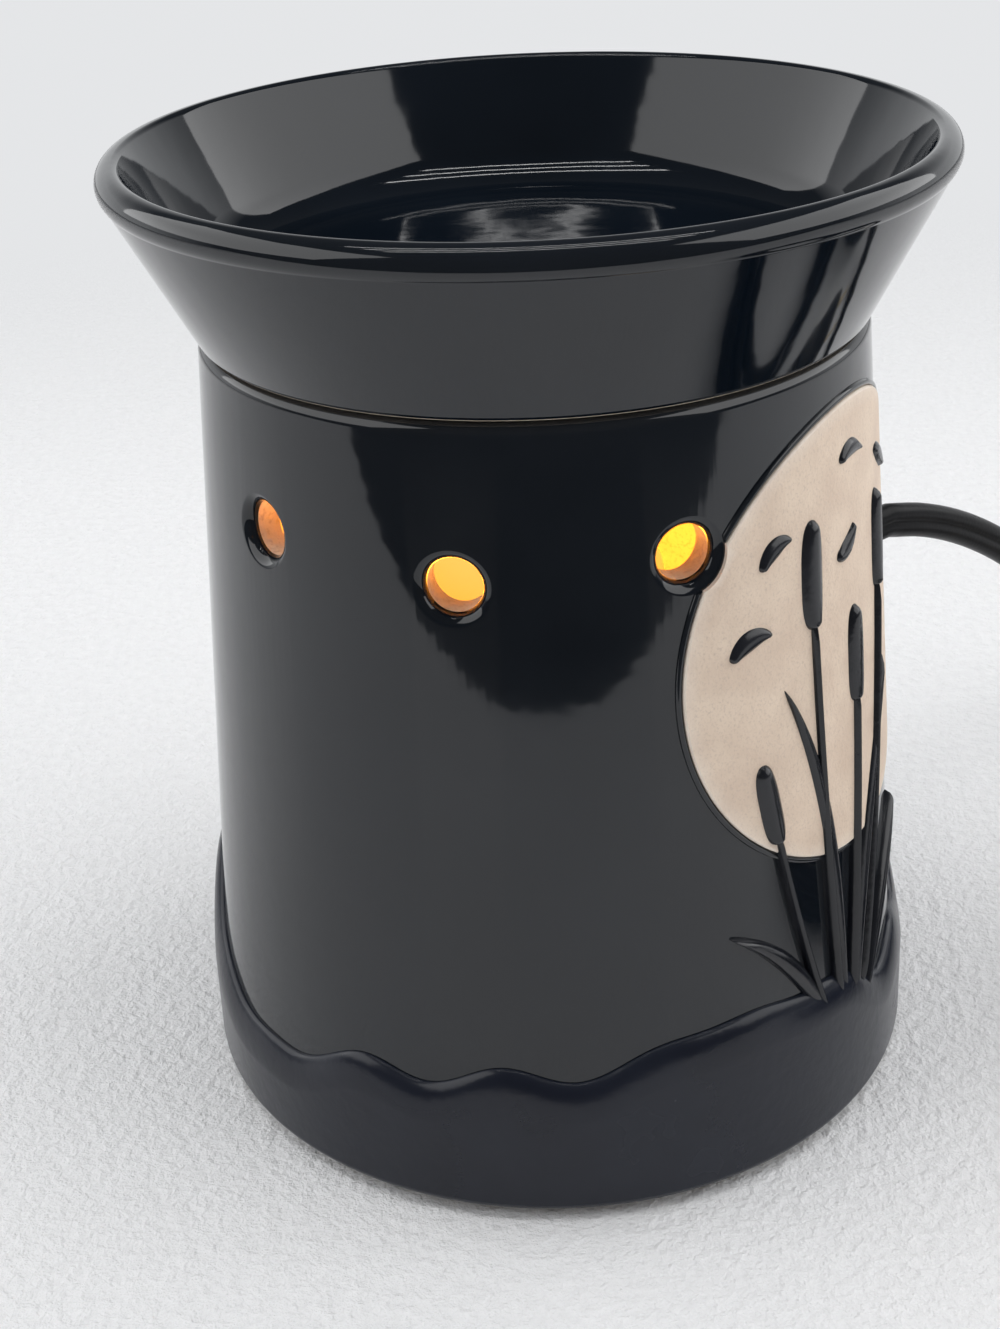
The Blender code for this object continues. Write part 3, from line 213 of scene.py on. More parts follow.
def turned(profile: Sequence[Point2], steps: int, closed: bool = False) -> BMesh:
    """A shape turned about Z.

    Args:
        profile: Its (radius, height) points.
        steps: The number of steps round it.
        closed: Whether the profile returns to its first point.

    Returns:
        The closed shape.
    """
    shape = bmesh.new()
    points = [shape.verts.new((radius, 0.0, height)) for radius, height in profile]
    pairs = list(zip(points, points[1:])) + ([(points[-1], points[0])] if closed else [])
    edges = [shape.edges.new(pair) for pair in pairs]
    still, up = (0.0, 0.0, 0.0), (0.0, 0.0, 1.0)
    bmesh.ops.spin(
        shape, geom=[*points, *edges], cent=still, axis=up, dvec=still, angle=TURN, steps=steps,
        use_merge=True,
    )
    close_up(shape)
    return shape


def bar(radius: float, low: float, high: float, steps: int = 48, rounds: Point2 = (0.0, 0.0)) -> BMesh:
    """A round bar or plate about Z, whose lower and upper edges are rounded by two radii."""
    corners = [(0.0, high, 0.0), (radius, high, rounds[1]), (radius, low, rounds[0]), (0.0, low, 0.0)]
    return turned(filleted(corners), steps)


def rounded_block(size: Corner, edge: float) -> BMesh:
    """A box about the origin with rounded edges.

    Args:
        size: Its three lengths.
        edge: The radius of its edges.

    Returns:
        The shape.
    """
    shape = bmesh.new()
    bmesh.ops.create_cube(shape, size=1.0)
    bmesh.ops.scale(shape, vec=Vector(size), verts=shape.verts)
    bmesh.ops.bevel(
        shape, geom=shape.edges[:], offset=edge, segments=3, profile=0.5, affect="EDGES", material=-1
    )
    return shape


def face_out(shape: BMesh) -> BMesh:
    """Turn all the faces of a closed shape outwards.

    Args:
        shape: The shape, which is changed.

    Returns:
        The same shape.
    """
    bmesh.ops.recalc_face_normals(shape, faces=shape.faces)
    if shape.calc_volume(signed=True) < 0.0:
        bmesh.ops.reverse_faces(shape, faces=shape.faces)
    return shape


def rod(rings: int, segments: int) -> BMesh:
    """A closed unit bar along Z from -0.5 to 0.5, to be drawn out into another shape.

    Args:
        rings: The number of rings along it.
        segments: The number of points round each ring.

    Returns:
        The shape.
    """
    shape = bmesh.new()
    bmesh.ops.create_cone(
        shape, cap_ends=True, cap_tris=False, segments=segments, radius1=1.0, radius2=1.0, depth=1.0
    )
    rungs = [edge for edge in shape.edges if abs(edge.verts[0].co.z - edge.verts[1].co.z) > 0.5]
    bmesh.ops.subdivide_edges(shape, edges=rungs, cuts=rings - 2, use_grid_fill=True)
    return shape


def lofted(stations: Sequence[Station], segments: int) -> BMesh:
    """A closed body along Y through rounded sections.

    Args:
        stations: For each section its place along Y, half width, half height and squareness (2 is an
            ellipse, and more is squarer).
        segments: The number of points round each section.

    Returns:
        The shape.
    """
    shape = rod(len(stations), segments)
    for vertex in shape.verts:
        along, wide, high, square = stations[round((vertex.co.z + 0.5) * (len(stations) - 1))]
        angle = math.atan2(vertex.co.y, vertex.co.x)
        x = math.copysign(abs(math.cos(angle)) ** (2.0 / square), math.cos(angle))
        z = math.copysign(abs(math.sin(angle)) ** (2.0 / square), math.sin(angle))
        vertex.co = (wide * x, along, high * z)
    return face_out(shape)


def swept(route: Sequence[Vector], section: Callable[[float], Point2], segments: int) -> BMesh:
    """A closed tube along a route, with its section kept upright.

    Args:
        route: The points it follows.
        section: The section's sideways and upward place for an angle.
        segments: The number of points round the section.

    Returns:
        The shape.
    """
    shape = rod(len(route), segments)
    last = len(route) - 1
    frames = []
    for place in range(len(route)):
        onward = (route[min(place + 1, last)] - route[max(place - 1, 0)]).normalized()
        across = Vector((0.0, 0.0, 1.0)).cross(onward).normalized()
        frames.append((route[place], across, onward.cross(across)))
    for vertex in shape.verts:
        here, across, over = frames[round((vertex.co.z + 0.5) * last)]
        side, up = section(math.atan2(vertex.co.y, vertex.co.x))
        vertex.co = here + across * side + over * up
    return face_out(shape)


def moved(shape: BMesh, matrix: Matrix) -> BMesh:
    """The same shape, turned and moved to its place."""
    bmesh.ops.transform(shape, matrix=matrix, verts=shape.verts)
    return shape


def shifted(shape: BMesh, place: Sequence[float]) -> BMesh:
    """The same shape, moved along X, Y and Z."""
    return moved(shape, Matrix.Translation(place))


def joined(shapes: Iterable[BMesh]) -> BMesh:
    """Several shapes in one mesh.

    Args:
        shapes: The shapes, which are used up.

    Returns:
        The whole.
    """
    whole = bmesh.new()
    for shape in shapes:
        data = bpy.data.meshes.new("joining")
        shape.to_mesh(data)
        shape.free()
        whole.from_mesh(data)
        bpy.data.meshes.remove(data)
    return whole


def mesh_object(name: str, shape: BMesh) -> bpy.types.Object:
    """A shape as an object of the scene.

    Args:
        name: The name of the object and its mesh.
        shape: The shape, which is used up.

    Returns:
        The object, at the origin.
    """
    data = bpy.data.meshes.new(name)
    shape.to_mesh(data)
    shape.free()
    made = bpy.data.objects.new(name, data)
    bpy.context.scene.collection.objects.link(made)
    return made


def cut(shape: BMesh, cutters: Iterable[BMesh]) -> BMesh:
    """A shape with others cut away from it; all of them are used up.

    Args:
        shape: The shape to cut.
        cutters: The shapes to take away.

    Returns:
        What is left.
    """
    target = mesh_object("cut_target", shape)
    tool = mesh_object("cut_tool", joined(cutters))
    step = target.modifiers.new("cutting", "BOOLEAN")
    step.operation = "DIFFERENCE"
    step.solver = "EXACT"
    step.object = tool
    bpy.context.view_layer.update()
    evaluated = target.evaluated_get(bpy.context.evaluated_depsgraph_get())
    result = bpy.data.meshes.new_from_object(evaluated)
    left = bmesh.new()
    left.from_mesh(result)
    bmesh.ops.remove_doubles(left, verts=left.verts, dist=CUT_MERGE)
    bmesh.ops.dissolve_degenerate(left, edges=left.edges, dist=CUT_MERGE)
    bpy.data.meshes.remove(result)
    for item in (target, tool):
        data = item.data
        bpy.data.objects.remove(item)
        bpy.data.meshes.remove(data)
    return left


def smooth_route(points: Sequence[Vector], spacing: float) -> list[Vector]:
    """Evenly spaced points on one smooth curve.

    Args:
        points: The points that the curve passes through.
        spacing: About how far apart the new points are.

    Returns:
        The new points.
    """
    parts = 20
    padded = [2 * points[0] - points[1], *points, 2 * points[-1] - points[-2]]
    fine = []
    for before, start, end, after in zip(padded, padded[1:], padded[2:], padded[3:]):
        for step in range(parts):
            t = step / parts
            line = 2 * start + (end - before) * t
            bend = (2 * before - 5 * start + 4 * end - after) * t**2
            twist = (3 * start - before - 3 * end + after) * t**3
            fine.append(0.5 * (line + bend + twist))
    fine.append(points[-1])
    lengths = [0.0]
    for start, end in zip(fine, fine[1:]):
        lengths.append(lengths[-1] + (end - start).length)
    count = max(2, round(lengths[-1] / spacing))
    even = []
    place = 0
    for step in range(count + 1):
        target = lengths[-1] * step / count
        while place < len(fine) - 2 and lengths[place + 1] < target:
            place += 1
        share = (target - lengths[place]) / (lengths[place + 1] - lengths[place])
        even.append(fine[place].lerp(fine[place + 1], share))
    return even


def length_of(route: Sequence[Vector]) -> float:
    """The length of a route along its points."""
    return sum((end - start).length for start, end in zip(route, route[1:]))


def ease(share: float) -> float:
    """A smooth step from 0 to 1."""
    share = min(1.0, max(0.0, share))
    return share * share * (3.0 - 2.0 * share)


def outward_frame(azimuth: float, height: float = 0.0) -> Matrix:
    """A frame on the lamp's axis: X runs along the wall, Y is up and Z points out.

    Args:
        azimuth: The azimuth that Z points to, in degrees.
        height: The height of its origin.

    Returns:
        The frame.
    """
    sine, cosine = math.sin(math.radians(azimuth)), math.cos(math.radians(azimuth))
    rows = ((cosine, 0.0, sine, 0.0), (sine, 0.0, -cosine, 0.0), (0.0, 1.0, 0.0, height))
    return Matrix((*rows, (0.0, 0.0, 0.0, 1.0)))


def mark_edges(shape: BMesh) -> None:
    """Store how sharply each point of a shape sticks out, for finishes that thin or wear on edges.

    Args:
        shape: The shape, which gets the values.
    """
    layer = shape.verts.layers.float.new("edge")
    least, span = math.radians(7.0), math.radians(22.0)
    for vertex in shape.verts:
        angles = [edge.calc_face_angle_signed(0.0) for edge in vertex.link_edges if edge.is_manifold]
        vertex[layer] = min(1.0, max(0.0, (sum(max(0.0, angle) for angle in angles) - least) / span))


def make_piece(
    name: str,
    shape: BMesh,
    looks: Sequence[Look],
    body: Body,
    slot: Slot,
    stands_for: Sequence[str] = (),
    crease: float = 38.0,
) -> bpy.types.Object:
    """Finish a shape as a piece of the object.

    Args:
        name: The piece's name.
        shape: Its shape, which is used up.
        looks: Its finishes, by the material index of its faces.
        body: The CAD body that it moves with.
        slot: The record's material slot; it is not used.
        stands_for: The CAD nodes that it replaces.
        crease: The angle from which an edge stays sharp, in degrees.

    Returns:
        The piece.
    """
    mark_edges(shape)
    piece = mesh_object(name, shape)
    data = piece.data
    for look in looks:
        data.materials.append(look.material())
    data.shade_smooth()
    data.set_sharp_from_angle(angle=math.radians(crease))
    piece.modifiers.new("even_shading", "WEIGHTED_NORMAL").keep_sharp = True
    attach(piece, body.value)
    if stands_for:
        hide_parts(*stands_for)
    LOG.info("piece %s: %d faces, rides on %s", name, len(data.polygons), body.value)
    return piece


def dress(frame: dict, look: Look, *nodes: str) -> None:
    """Give CAD nodes that stay in view a finish.

    Args:
        frame: The CAD frame.
        look: The finish.
        nodes: The nodes' names.
    """
    for name in nodes:
        data = frame["nodes"][name].data
        data.materials.clear()
        data.materials.append(look.material())
        LOG.info("node %s: %s", name, look.value.name)


# Finishes


class NodeBoard:
    """Adds nodes to one node tree and links them."""

    def __init__(self, tree: bpy.types.NodeTree) -> None:
        """Start on a tree."""
        self.tree = tree

    def feed(self, target: Socket, value: object) -> None:
        """Link an output to an input, or give the input a plain value.

        Args:
            target: The input.
            value: The output or the value.
        """
        if isinstance(value, Socket):
            self.tree.links.new(value, target)
        else:
            target.default_value = value

    def add(self, kind: str, **values: object) -> Node:
        """Add a node.

        Args:
            kind: The node's type.
            values: Settings by attribute name, and what its inputs get by input name, with spaces as
                underscores.

        Returns:
            The node.
        """
        node = self.tree.nodes.new(kind)
        for key, value in values.items():
            if hasattr(node, key):
                setattr(node, key, value)
            else:
                self.feed(node.inputs[key.replace("_", " ")], value)
        return node

    def blend(self, mask: Socket, low: Colour | Socket, high: Colour) -> Socket:
        """Mix two colours by a mask.

        Args:
            mask: 0 gives low and 1 gives high.
            low: A colour, or the output that gives it.
            high: The other colour.

        Returns:
            The mixed colour's output.
        """
        mix = self.add("ShaderNodeMix", data_type="RGBA")
        self.feed(mix.inputs[0], mask)
        self.feed(mix.inputs[6], low if isinstance(low, Socket) else (*low, 1.0))
        self.feed(mix.inputs[7], (*high, 1.0))
        return mix.outputs[2]

    def spread(
        self, value: Socket, to: Point2 = (0.0, 1.0), source: Point2 = (0.0, 1.0), **settings: str
    ) -> Socket:
        """Map an output from one range to another.

        Args:
            value: The output.
            to: The new range.
            source: The range that it comes from.
            settings: Other settings of the node.

        Returns:
            The mapped output, held within the new range.
        """
        node = self.add("ShaderNodeMapRange", Value=value, **settings)
        for name, number in zip(("From Min", "From Max", "To Min", "To Max"), (*source, *to)):
            node.inputs[name].default_value = number
        return node.outputs["Result"]

    def math(self, operation: str, *values: float | Socket) -> Socket:
        """The result of a sum.

        Args:
            operation: The kind of sum.
            values: The outputs and numbers that go into it.

        Returns:
            Its output.
        """
        node = self.add("ShaderNodeMath", operation=operation)
        for target, value in zip(node.inputs, values):
            self.feed(target, value)
        return node.outputs[0]

    def mix_shaders(self, share: Socket, first: Node, second: Node) -> Node:
        """Mix two shaders.

        Args:
            share: 0 shows the first and 1 shows the second.
            first: The first shader.
            second: The second shader.

        Returns:
            The mixed shader.
        """
        node = self.add("ShaderNodeMixShader")
        for target, value in zip(node.inputs, (share, first.outputs[0], second.outputs[0])):
            self.feed(target, value)
        return node


class Patterns:
    """The shader node groups that several finishes share, each built once."""

    def __init__(self) -> None:
        """Build the groups."""
        self.mottle = self._mottle()
        self.wear = self._wear()

    @staticmethod
    def _new_group(name: str, inputs: Sequence[str], outputs: Sequence[str]) -> tuple:
        """An empty group that takes a place and some numbers, and gives numbers.

        Args:
            name: The group's name.
            inputs: Its numbers' names.
            outputs: Its outputs' names.

        Returns:
            The group, a board on it, its input node's outputs and its output node's inputs.
        """
        group = bpy.data.node_groups.new(name, "ShaderNodeTree")
        group.interface.new_socket("Vector", in_out="INPUT", socket_type="NodeSocketVector")
        for direction, labels in (("INPUT", inputs), ("OUTPUT", outputs)):
            for label in labels:
                group.interface.new_socket(label, in_out=direction, socket_type="NodeSocketFloat")
        board = NodeBoard(group)
        return group, board, board.add("NodeGroupInput").outputs, board.add("NodeGroupOutput").inputs

    def _mottle(self) -> bpy.types.NodeTree:
        """Soft clouds for colour and gloss, and a fine grain for the surface.

        Returns:
            The group.
        """
        labels = ("Clouds", "Grain")
        group, board, given, wanted = self._new_group("surface_mottle", labels, ("Mask", "Height"))
        place, noises = given["Vector"], {}
        for label, detail, rough in (("Clouds", 3.0, 0.55), ("Grain", 2.0, 0.6)):
            noise = board.add("ShaderNodeTexNoise", Vector=place, Detail=detail, Roughness=rough)
            board.feed(noise.inputs["Scale"], given[label])
            noises[label] = noise.outputs[0]
        board.feed(wanted["Mask"], board.spread(noises["Clouds"], source=(0.3, 0.7)))
        board.feed(wanted["Height"], noises["Grain"])
        return group

    def _wear(self) -> bpy.types.NodeTree:
        """Broken lines along a piece's edges, from the edge values in its mesh.

        Returns:
            The group.
        """
        group, board, given, wanted = self._new_group("edge_wear", ("Scale", "Amount"), ("Mask",))
        edge = board.add("ShaderNodeAttribute", attribute_name="edge").outputs["Fac"]
        noise = board.add("ShaderNodeTexNoise", Vector=given["Vector"], Detail=3.0, Roughness=0.6)
        board.feed(noise.inputs["Scale"], given["Scale"])
        worn = board.math("MULTIPLY", edge, board.spread(noise.outputs[0], (0.25, 1.15)))
        amount = board.math("MULTIPLY", worn, given["Amount"])
        board.feed(wanted["Mask"], board.math("MINIMUM", amount, 1.0))
        return group


@dataclass(frozen=True)
class Finish:
    """A surface whose colour, gloss and grain vary a little, and that thins on edges."""

    name: str
    dark: Colour
    light: Colour
    worn: Colour
    rough: Point2
    clouds: float = 60.0
    grain: float = 900.0
    bump: float = 0.00005
    wear: float = 0.4
    metallic: float = 0.0
    specular: float = 0.5
    sheen: float = 0.0
    stretch: Corner = (1.0, 1.0, 1.0)

    def material(self, patterns: Patterns) -> bpy.types.Material:
        """Build the material.

        Args:
            patterns: The shared node groups.

        Returns:
            The material.
        """
        made = bpy.data.materials.new(self.name)
        made.use_nodes = True
        board = NodeBoard(made.node_tree)
        shader = made.node_tree.nodes["Principled BSDF"]
        place = board.add("ShaderNodeTexCoord").outputs["Object"]
        stretched = board.add("ShaderNodeMapping", Vector=place, Scale=self.stretch).outputs["Vector"]
        mottle = board.add("ShaderNodeGroup", node_tree=patterns.mottle, Vector=stretched)
        worn = board.add("ShaderNodeGroup", node_tree=patterns.wear, Vector=place, Amount=self.wear)
        mottle.inputs["Clouds"].default_value = self.clouds
        mottle.inputs["Grain"].default_value = self.grain
        worn.inputs["Scale"].default_value = self.clouds * 2.0
        colour = self.colour(board, place, mottle)
        height = self.height(board, place, mottle)
        bump = board.add("ShaderNodeBump", Height=height, Distance=self.bump, Strength=1.0)
        surface = {
            "Base Color": board.blend(worn.outputs["Mask"], colour, self.worn),
            "Roughness": board.spread(mottle.outputs["Mask"], self.rough),
            "Normal": bump.outputs["Normal"],
            "Metallic": self.metallic,
            "Specular IOR Level": self.specular,
            "Sheen Weight": self.sheen,
        }
        for name, value in surface.items():
            board.feed(shader.inputs[name], value)
        self.extra(board, shader, place)
        return made

    def colour(self, board: NodeBoard, place: Socket, mottle: Node) -> Socket:
        """The colour's output before edges thin, from the material's Object coordinates and mottle."""
        return board.blend(mottle.outputs["Mask"], self.dark, self.light)

    def height(self, board: NodeBoard, place: Socket, mottle: Node) -> Socket:
        """The output of the fine surface height, from the Object coordinates and mottle."""
        return mottle.outputs["Height"]

    def extra(self, board: NodeBoard, shader: Node, place: Socket) -> None:
        """Anything else that a kind of finish sets on its shader."""


@dataclass(frozen=True)
class SpeckledFinish(Finish):
    """A matt, sandy ceramic colour with fine dark and warm specks."""

    speck: Colour = (0.3, 0.2, 0.16)
    speck_scale: float = 1500.0
    speck_range: Point2 = (0.52, 0.78)
    speck_cover: float = 0.65

    def colour(self, board: NodeBoard, place: Socket, mottle: Node) -> Socket:
        """The clouded colour with specks over it.

        Args:
            board: The material's nodes.
            place: Its Object coordinates.
            mottle: The mottle group in it.

        Returns:
            The colour's output.
        """
        noise = board.add("ShaderNodeTexNoise", Vector=place, Scale=self.speck_scale, Detail=1.0)
        mask = board.spread(noise.outputs[0], (0.0, self.speck_cover), self.speck_range)
        return board.blend(mask, super().colour(board, place, mottle), self.speck)


@dataclass(frozen=True)
class WovenFinish(Finish):
    """A strap of crossed threads."""

    thread: float = 1400.0
    uneven: float = 0.4

    def height(self, board: NodeBoard, place: Socket, mottle: Node) -> Socket:
        """The height of crossed rows of threads.

        Args:
            board: The material's nodes.
            place: Its Object coordinates.
            mottle: The mottle group in it, which isn't used.

        Returns:
            The height's output.
        """
        rows = []
        for axis in ("X", "Z"):
            wave = board.add("ShaderNodeTexWave", bands_direction=axis, Vector=place, Scale=self.thread)
            wave.inputs["Distortion"].default_value = self.uneven
            rows.append(wave.outputs[1])
        return board.math("MULTIPLY", *rows)


@dataclass(frozen=True)
class GlowingGlass(Finish):
    """Frosted bulb glass that is lit from inside, hottest on its crown.

    Seen straight on it stays within the picture's range, as a lens would record it, and it lights the
    room round it more strongly.
    """

    cast: Colour = (1.0, 0.38, 0.036)
    neck_height: float = 50.0 * MM
    shoulder_height: float = 81.0 * MM
    crown_height: float = 92.0 * MM
    dim: Colour = (0.62, 0.24, 0.02)
    bright: Colour = (1.0, 0.47, 0.04)
    hot: Colour = (1.0, 0.66, 0.16)
    seen_strength: float = 1.0
    strength: float = 17.0

    def extra(self, board: NodeBoard, shader: Node, place: Socket) -> None:
        """Add the light.

        Args:
            board: The material's nodes.
            shader: Its surface.
            place: Its Object coordinates.
        """
        up = board.add("ShaderNodeSeparateXYZ", Vector=place).outputs["Z"]
        lower = board.spread(up, source=(self.neck_height, self.shoulder_height))
        upper = board.spread(up, source=(self.shoulder_height, self.crown_height))
        colour = board.blend(upper, board.blend(lower, self.dim, self.bright), self.hot)
        seen = board.add("ShaderNodeLightPath").outputs["Is Camera Ray"]
        unseen = board.math("SUBTRACT", 1.0, seen)
        board.feed(shader.inputs["Emission Color"], board.blend(unseen, colour, self.cast))
        strength = board.spread(unseen, (self.seen_strength, self.strength))
        board.feed(shader.inputs["Emission Strength"], strength)


@dataclass(frozen=True)
class ClearGlass(Finish):
    """Clear glass."""

    def extra(self, board: NodeBoard, shader: Node, place: Socket) -> None:
        """Let light through."""
        shader.inputs["Transmission Weight"].default_value = 1.0


@functools.cache
def shared_patterns() -> Patterns:
    """The shared node groups, which are built once."""
    return Patterns()


class Look(Enum):
    """The finishes on the warmer: colours from dark to light and on edges, gloss, clouds and grain."""

    GLAZE = Finish(
        "black_glaze", (0.0016, 0.0036, 0.0068), (0.0036, 0.0064, 0.0110), (0.024, 0.025, 0.027),
        (0.045, 0.075), clouds=28.0, grain=95.0, wear=0.45, specular=0.55,
    )
    SATIN = Finish(
        "foot_satin", (0.0060, 0.0075, 0.0140), (0.0095, 0.0120, 0.0210), (0.024, 0.028, 0.040),
        (0.20, 0.28), clouds=45.0, grain=420.0, bump=0.00006, wear=0.5, specular=0.36,
    )
    ENAMEL = Finish(
        "raised_enamel", (0.0035, 0.0040, 0.0060), (0.0080, 0.0090, 0.0130), (0.02, 0.022, 0.028),
        (0.16, 0.26), clouds=90.0, grain=500.0,
    )
    PALE = SpeckledFinish(
        "pale_disc", (0.72, 0.565, 0.445), (0.82, 0.67, 0.535), (0.90, 0.81, 0.71),
        (0.52, 0.66), clouds=140.0, grain=1500.0, bump=0.00010, wear=0.9,
        speck=(0.62, 0.49, 0.40), speck_scale=2600.0,
    )
    BISQUE = SpeckledFinish(
        "bare_clay", (0.58, 0.47, 0.35), (0.72, 0.61, 0.48), (0.76, 0.68, 0.58),
        (0.80, 0.92), clouds=70.0, grain=800.0, bump=0.00025, wear=0.3, speck=(0.42, 0.30, 0.20),
    )
    GLOW = GlowingGlass(
        "lit_frosted_glass", (0.10, 0.05, 0.015), (0.14, 0.07, 0.022), (0.14, 0.07, 0.022),
        (0.40, 0.52), clouds=120.0, grain=2500.0, bump=0.00003, wear=0.0, specular=0.15,
    )
    CLEAR = ClearGlass(
        "stem_glass", (0.86, 0.90, 0.90), (0.92, 0.95, 0.95), (0.95, 0.95, 0.95),
        (0.03, 0.06), clouds=200.0, bump=0.00001, wear=0.0,
    )
    FILAMENT = Finish(
        "filament_wire", (0.28, 0.26, 0.24), (0.40, 0.38, 0.35), (0.5, 0.5, 0.5),
        (0.30, 0.45), clouds=900.0, grain=6000.0, bump=0.00002, metallic=1.0,
    )
    CAP = Finish(
        "cap_aluminium", (0.55, 0.54, 0.51), (0.72, 0.71, 0.68), (0.82, 0.82, 0.80),
        (0.24, 0.40), clouds=160.0, bump=0.00004, metallic=1.0, stretch=(1.0, 1.0, 6.0),
    )
    INSULATOR = Finish(
        "cap_insulator", (0.010, 0.010, 0.016), (0.022, 0.022, 0.034), (0.06, 0.06, 0.08),
        (0.10, 0.20), clouds=300.0, bump=0.00003,
    )
    SOLDER = Finish(
        "solder_tip", (0.42, 0.42, 0.42), (0.58, 0.58, 0.57), (0.70, 0.70, 0.70),
        (0.32, 0.50), clouds=500.0, grain=1800.0, bump=0.00010, metallic=1.0,
    )
    PHENOLIC = Finish(
        "holder_phenolic", (0.020, 0.017, 0.015), (0.034, 0.029, 0.025), (0.085, 0.075, 0.065),
        (0.34, 0.50), clouds=120.0, grain=1200.0, bump=0.00006,
    )
    BRASS = Finish(
        "stamped_brass", (0.52, 0.36, 0.13), (0.74, 0.56, 0.26), (0.86, 0.72, 0.42),
        (0.22, 0.40), clouds=180.0, bump=0.00003, metallic=1.0, stretch=(1.0, 5.0, 1.0),
    )
    ZINC = Finish(
        "zinc_plate", (0.46, 0.47, 0.49), (0.62, 0.63, 0.65), (0.74, 0.74, 0.75),
        (0.26, 0.42), clouds=150.0, grain=700.0, bump=0.00004, metallic=1.0,
        stretch=(5.0, 1.0, 1.0),
    )
    POWDER = Finish(
        "powder_coat", (0.020, 0.020, 0.022), (0.034, 0.034, 0.037), (0.10, 0.10, 0.10),
        (0.48, 0.62), clouds=90.0, grain=1100.0, bump=0.00012, wear=0.35,
    )
    RUBBER = Finish(
        "pad_rubber", (0.030, 0.030, 0.031), (0.048, 0.048, 0.049), (0.09, 0.09, 0.09),
        (0.72, 0.86), clouds=300.0, grain=1800.0, bump=0.00010, specular=0.3,
    )
    SLEEVE = Finish(
        "wire_sleeve", (0.62, 0.60, 0.55), (0.76, 0.74, 0.69), (0.84, 0.83, 0.80),
        (0.50, 0.66), clouds=250.0, grain=2200.0, bump=0.00008,
    )
    VINYL = Finish(
        "cord_vinyl", (0.0035, 0.0036, 0.0042), (0.0065, 0.0066, 0.0076), (0.016, 0.016, 0.018),
        (0.26, 0.36), clouds=80.0, grain=1300.0, bump=0.00004, wear=0.3, specular=0.12,
    )
    STRAP = WovenFinish(
        "tie_strap", (0.006, 0.006, 0.008), (0.014, 0.014, 0.017), (0.040, 0.040, 0.046),
        (0.78, 0.92), clouds=260.0, grain=1500.0, bump=0.00022, specular=0.20, sheen=0.10,
    )
    HOUSING = Finish(
        "switch_housing", (0.006, 0.006, 0.007), (0.011, 0.011, 0.012), (0.030, 0.030, 0.032),
        (0.36, 0.48), clouds=110.0, grain=1600.0, bump=0.00007, specular=0.30,
    )
    WHEEL = Finish(
        "wheel_plastic", (0.010, 0.010, 0.011), (0.017, 0.017, 0.019), (0.050, 0.050, 0.054),
        (0.34, 0.46), clouds=160.0, grain=1600.0, bump=0.00006, specular=0.32,
    )
    PLUG = Finish(
        "plug_vinyl", (0.005, 0.005, 0.006), (0.009, 0.009, 0.010), (0.024, 0.024, 0.026),
        (0.34, 0.46), clouds=100.0, grain=1500.0, bump=0.00007, specular=0.26,
    )

    @functools.cache
    def material(self) -> bpy.types.Material:
        """The finish's material, which is built once."""
        return self.value.material(shared_patterns())


# Ceramic pieces


@dataclass(frozen=True)
class Wall:
    """The tapered outside of the ceramic body, without its relief."""

    bottom: float = 1.6 * MM
    height: float = 124.0 * MM
    base_radius: float = 58.4 * MM
    shoulder_radius: float = 50.2 * MM

    @property
    def top(self) -> float:
        """The height of the body's rim."""
        return self.bottom + self.height

    def radius_at(self, height: float) -> float:
        """The outer radius at a height."""
        share = (height - self.bottom) / self.height
        return self.base_radius + (self.shoulder_radius - self.base_radius) * share

    def point(self, azimuth: float, height: float, lift: float) -> Vector:
        """A point over the wall.

        Args:
            azimuth: Its azimuth in degrees.
            height: Its height.
            lift: How far it stands out from the wall.

        Returns:
            The point.
        """
        radius = self.radius_at(height) + lift
        angle = math.radians(azimuth)
        return Vector((radius * math.sin(angle), -radius * math.cos(angle), height))


@dataclass(frozen=True)
class Stroke:
    """A raised stroke on the wall, bent by three points of azimuth and height, with lengths in mm."""

    start: Point2
    bend: Point2
    end: Point2
    half_width: float
    taper: Taper

    def spine(self, share: float) -> Point2:
        """The middle of the stroke.

        Args:
            share: The share of its length.

        Returns:
            The azimuth and the height.
        """
        near, far = (1.0 - share) ** 2, share**2
        middle = 2.0 * share * (1.0 - share)
        azimuth = near * self.start[0] + middle * self.bend[0] + far * self.end[0]
        height = near * self.start[1] + middle * self.bend[1] + far * self.end[1]
        return azimuth, height * MM

    def half(self, share: float) -> float:
        """Half the stroke's width.

        Args:
            share: The share of its length.

        Returns:
            The half width there.
        """
        wide, tip = self.half_width * MM, 0.04
        if self.taper is Taper.STEM:
            return wide * (1.0 - 0.35 * share)
        if self.taper is Taper.LEAF:
            return wide * max(tip, math.sin(math.pi * min(1.0, 0.06 + 0.94 * share)) ** 0.75)
        return wide * max(tip, 1.0 - abs(2.0 * share - 1.0) ** 3.5) ** 0.5

    def crest(self, share: float) -> float:
        """How high the stroke stands at a share of its length, as a share of the full relief."""
        tallest = {Taper.STEM: 0.9, Taper.LEAF: 0.75, Taper.HEAD: 1.0}[self.taper]
        return tallest * math.sqrt(min(1.0, 14.0 * (0.5 - abs(share - 0.5))))


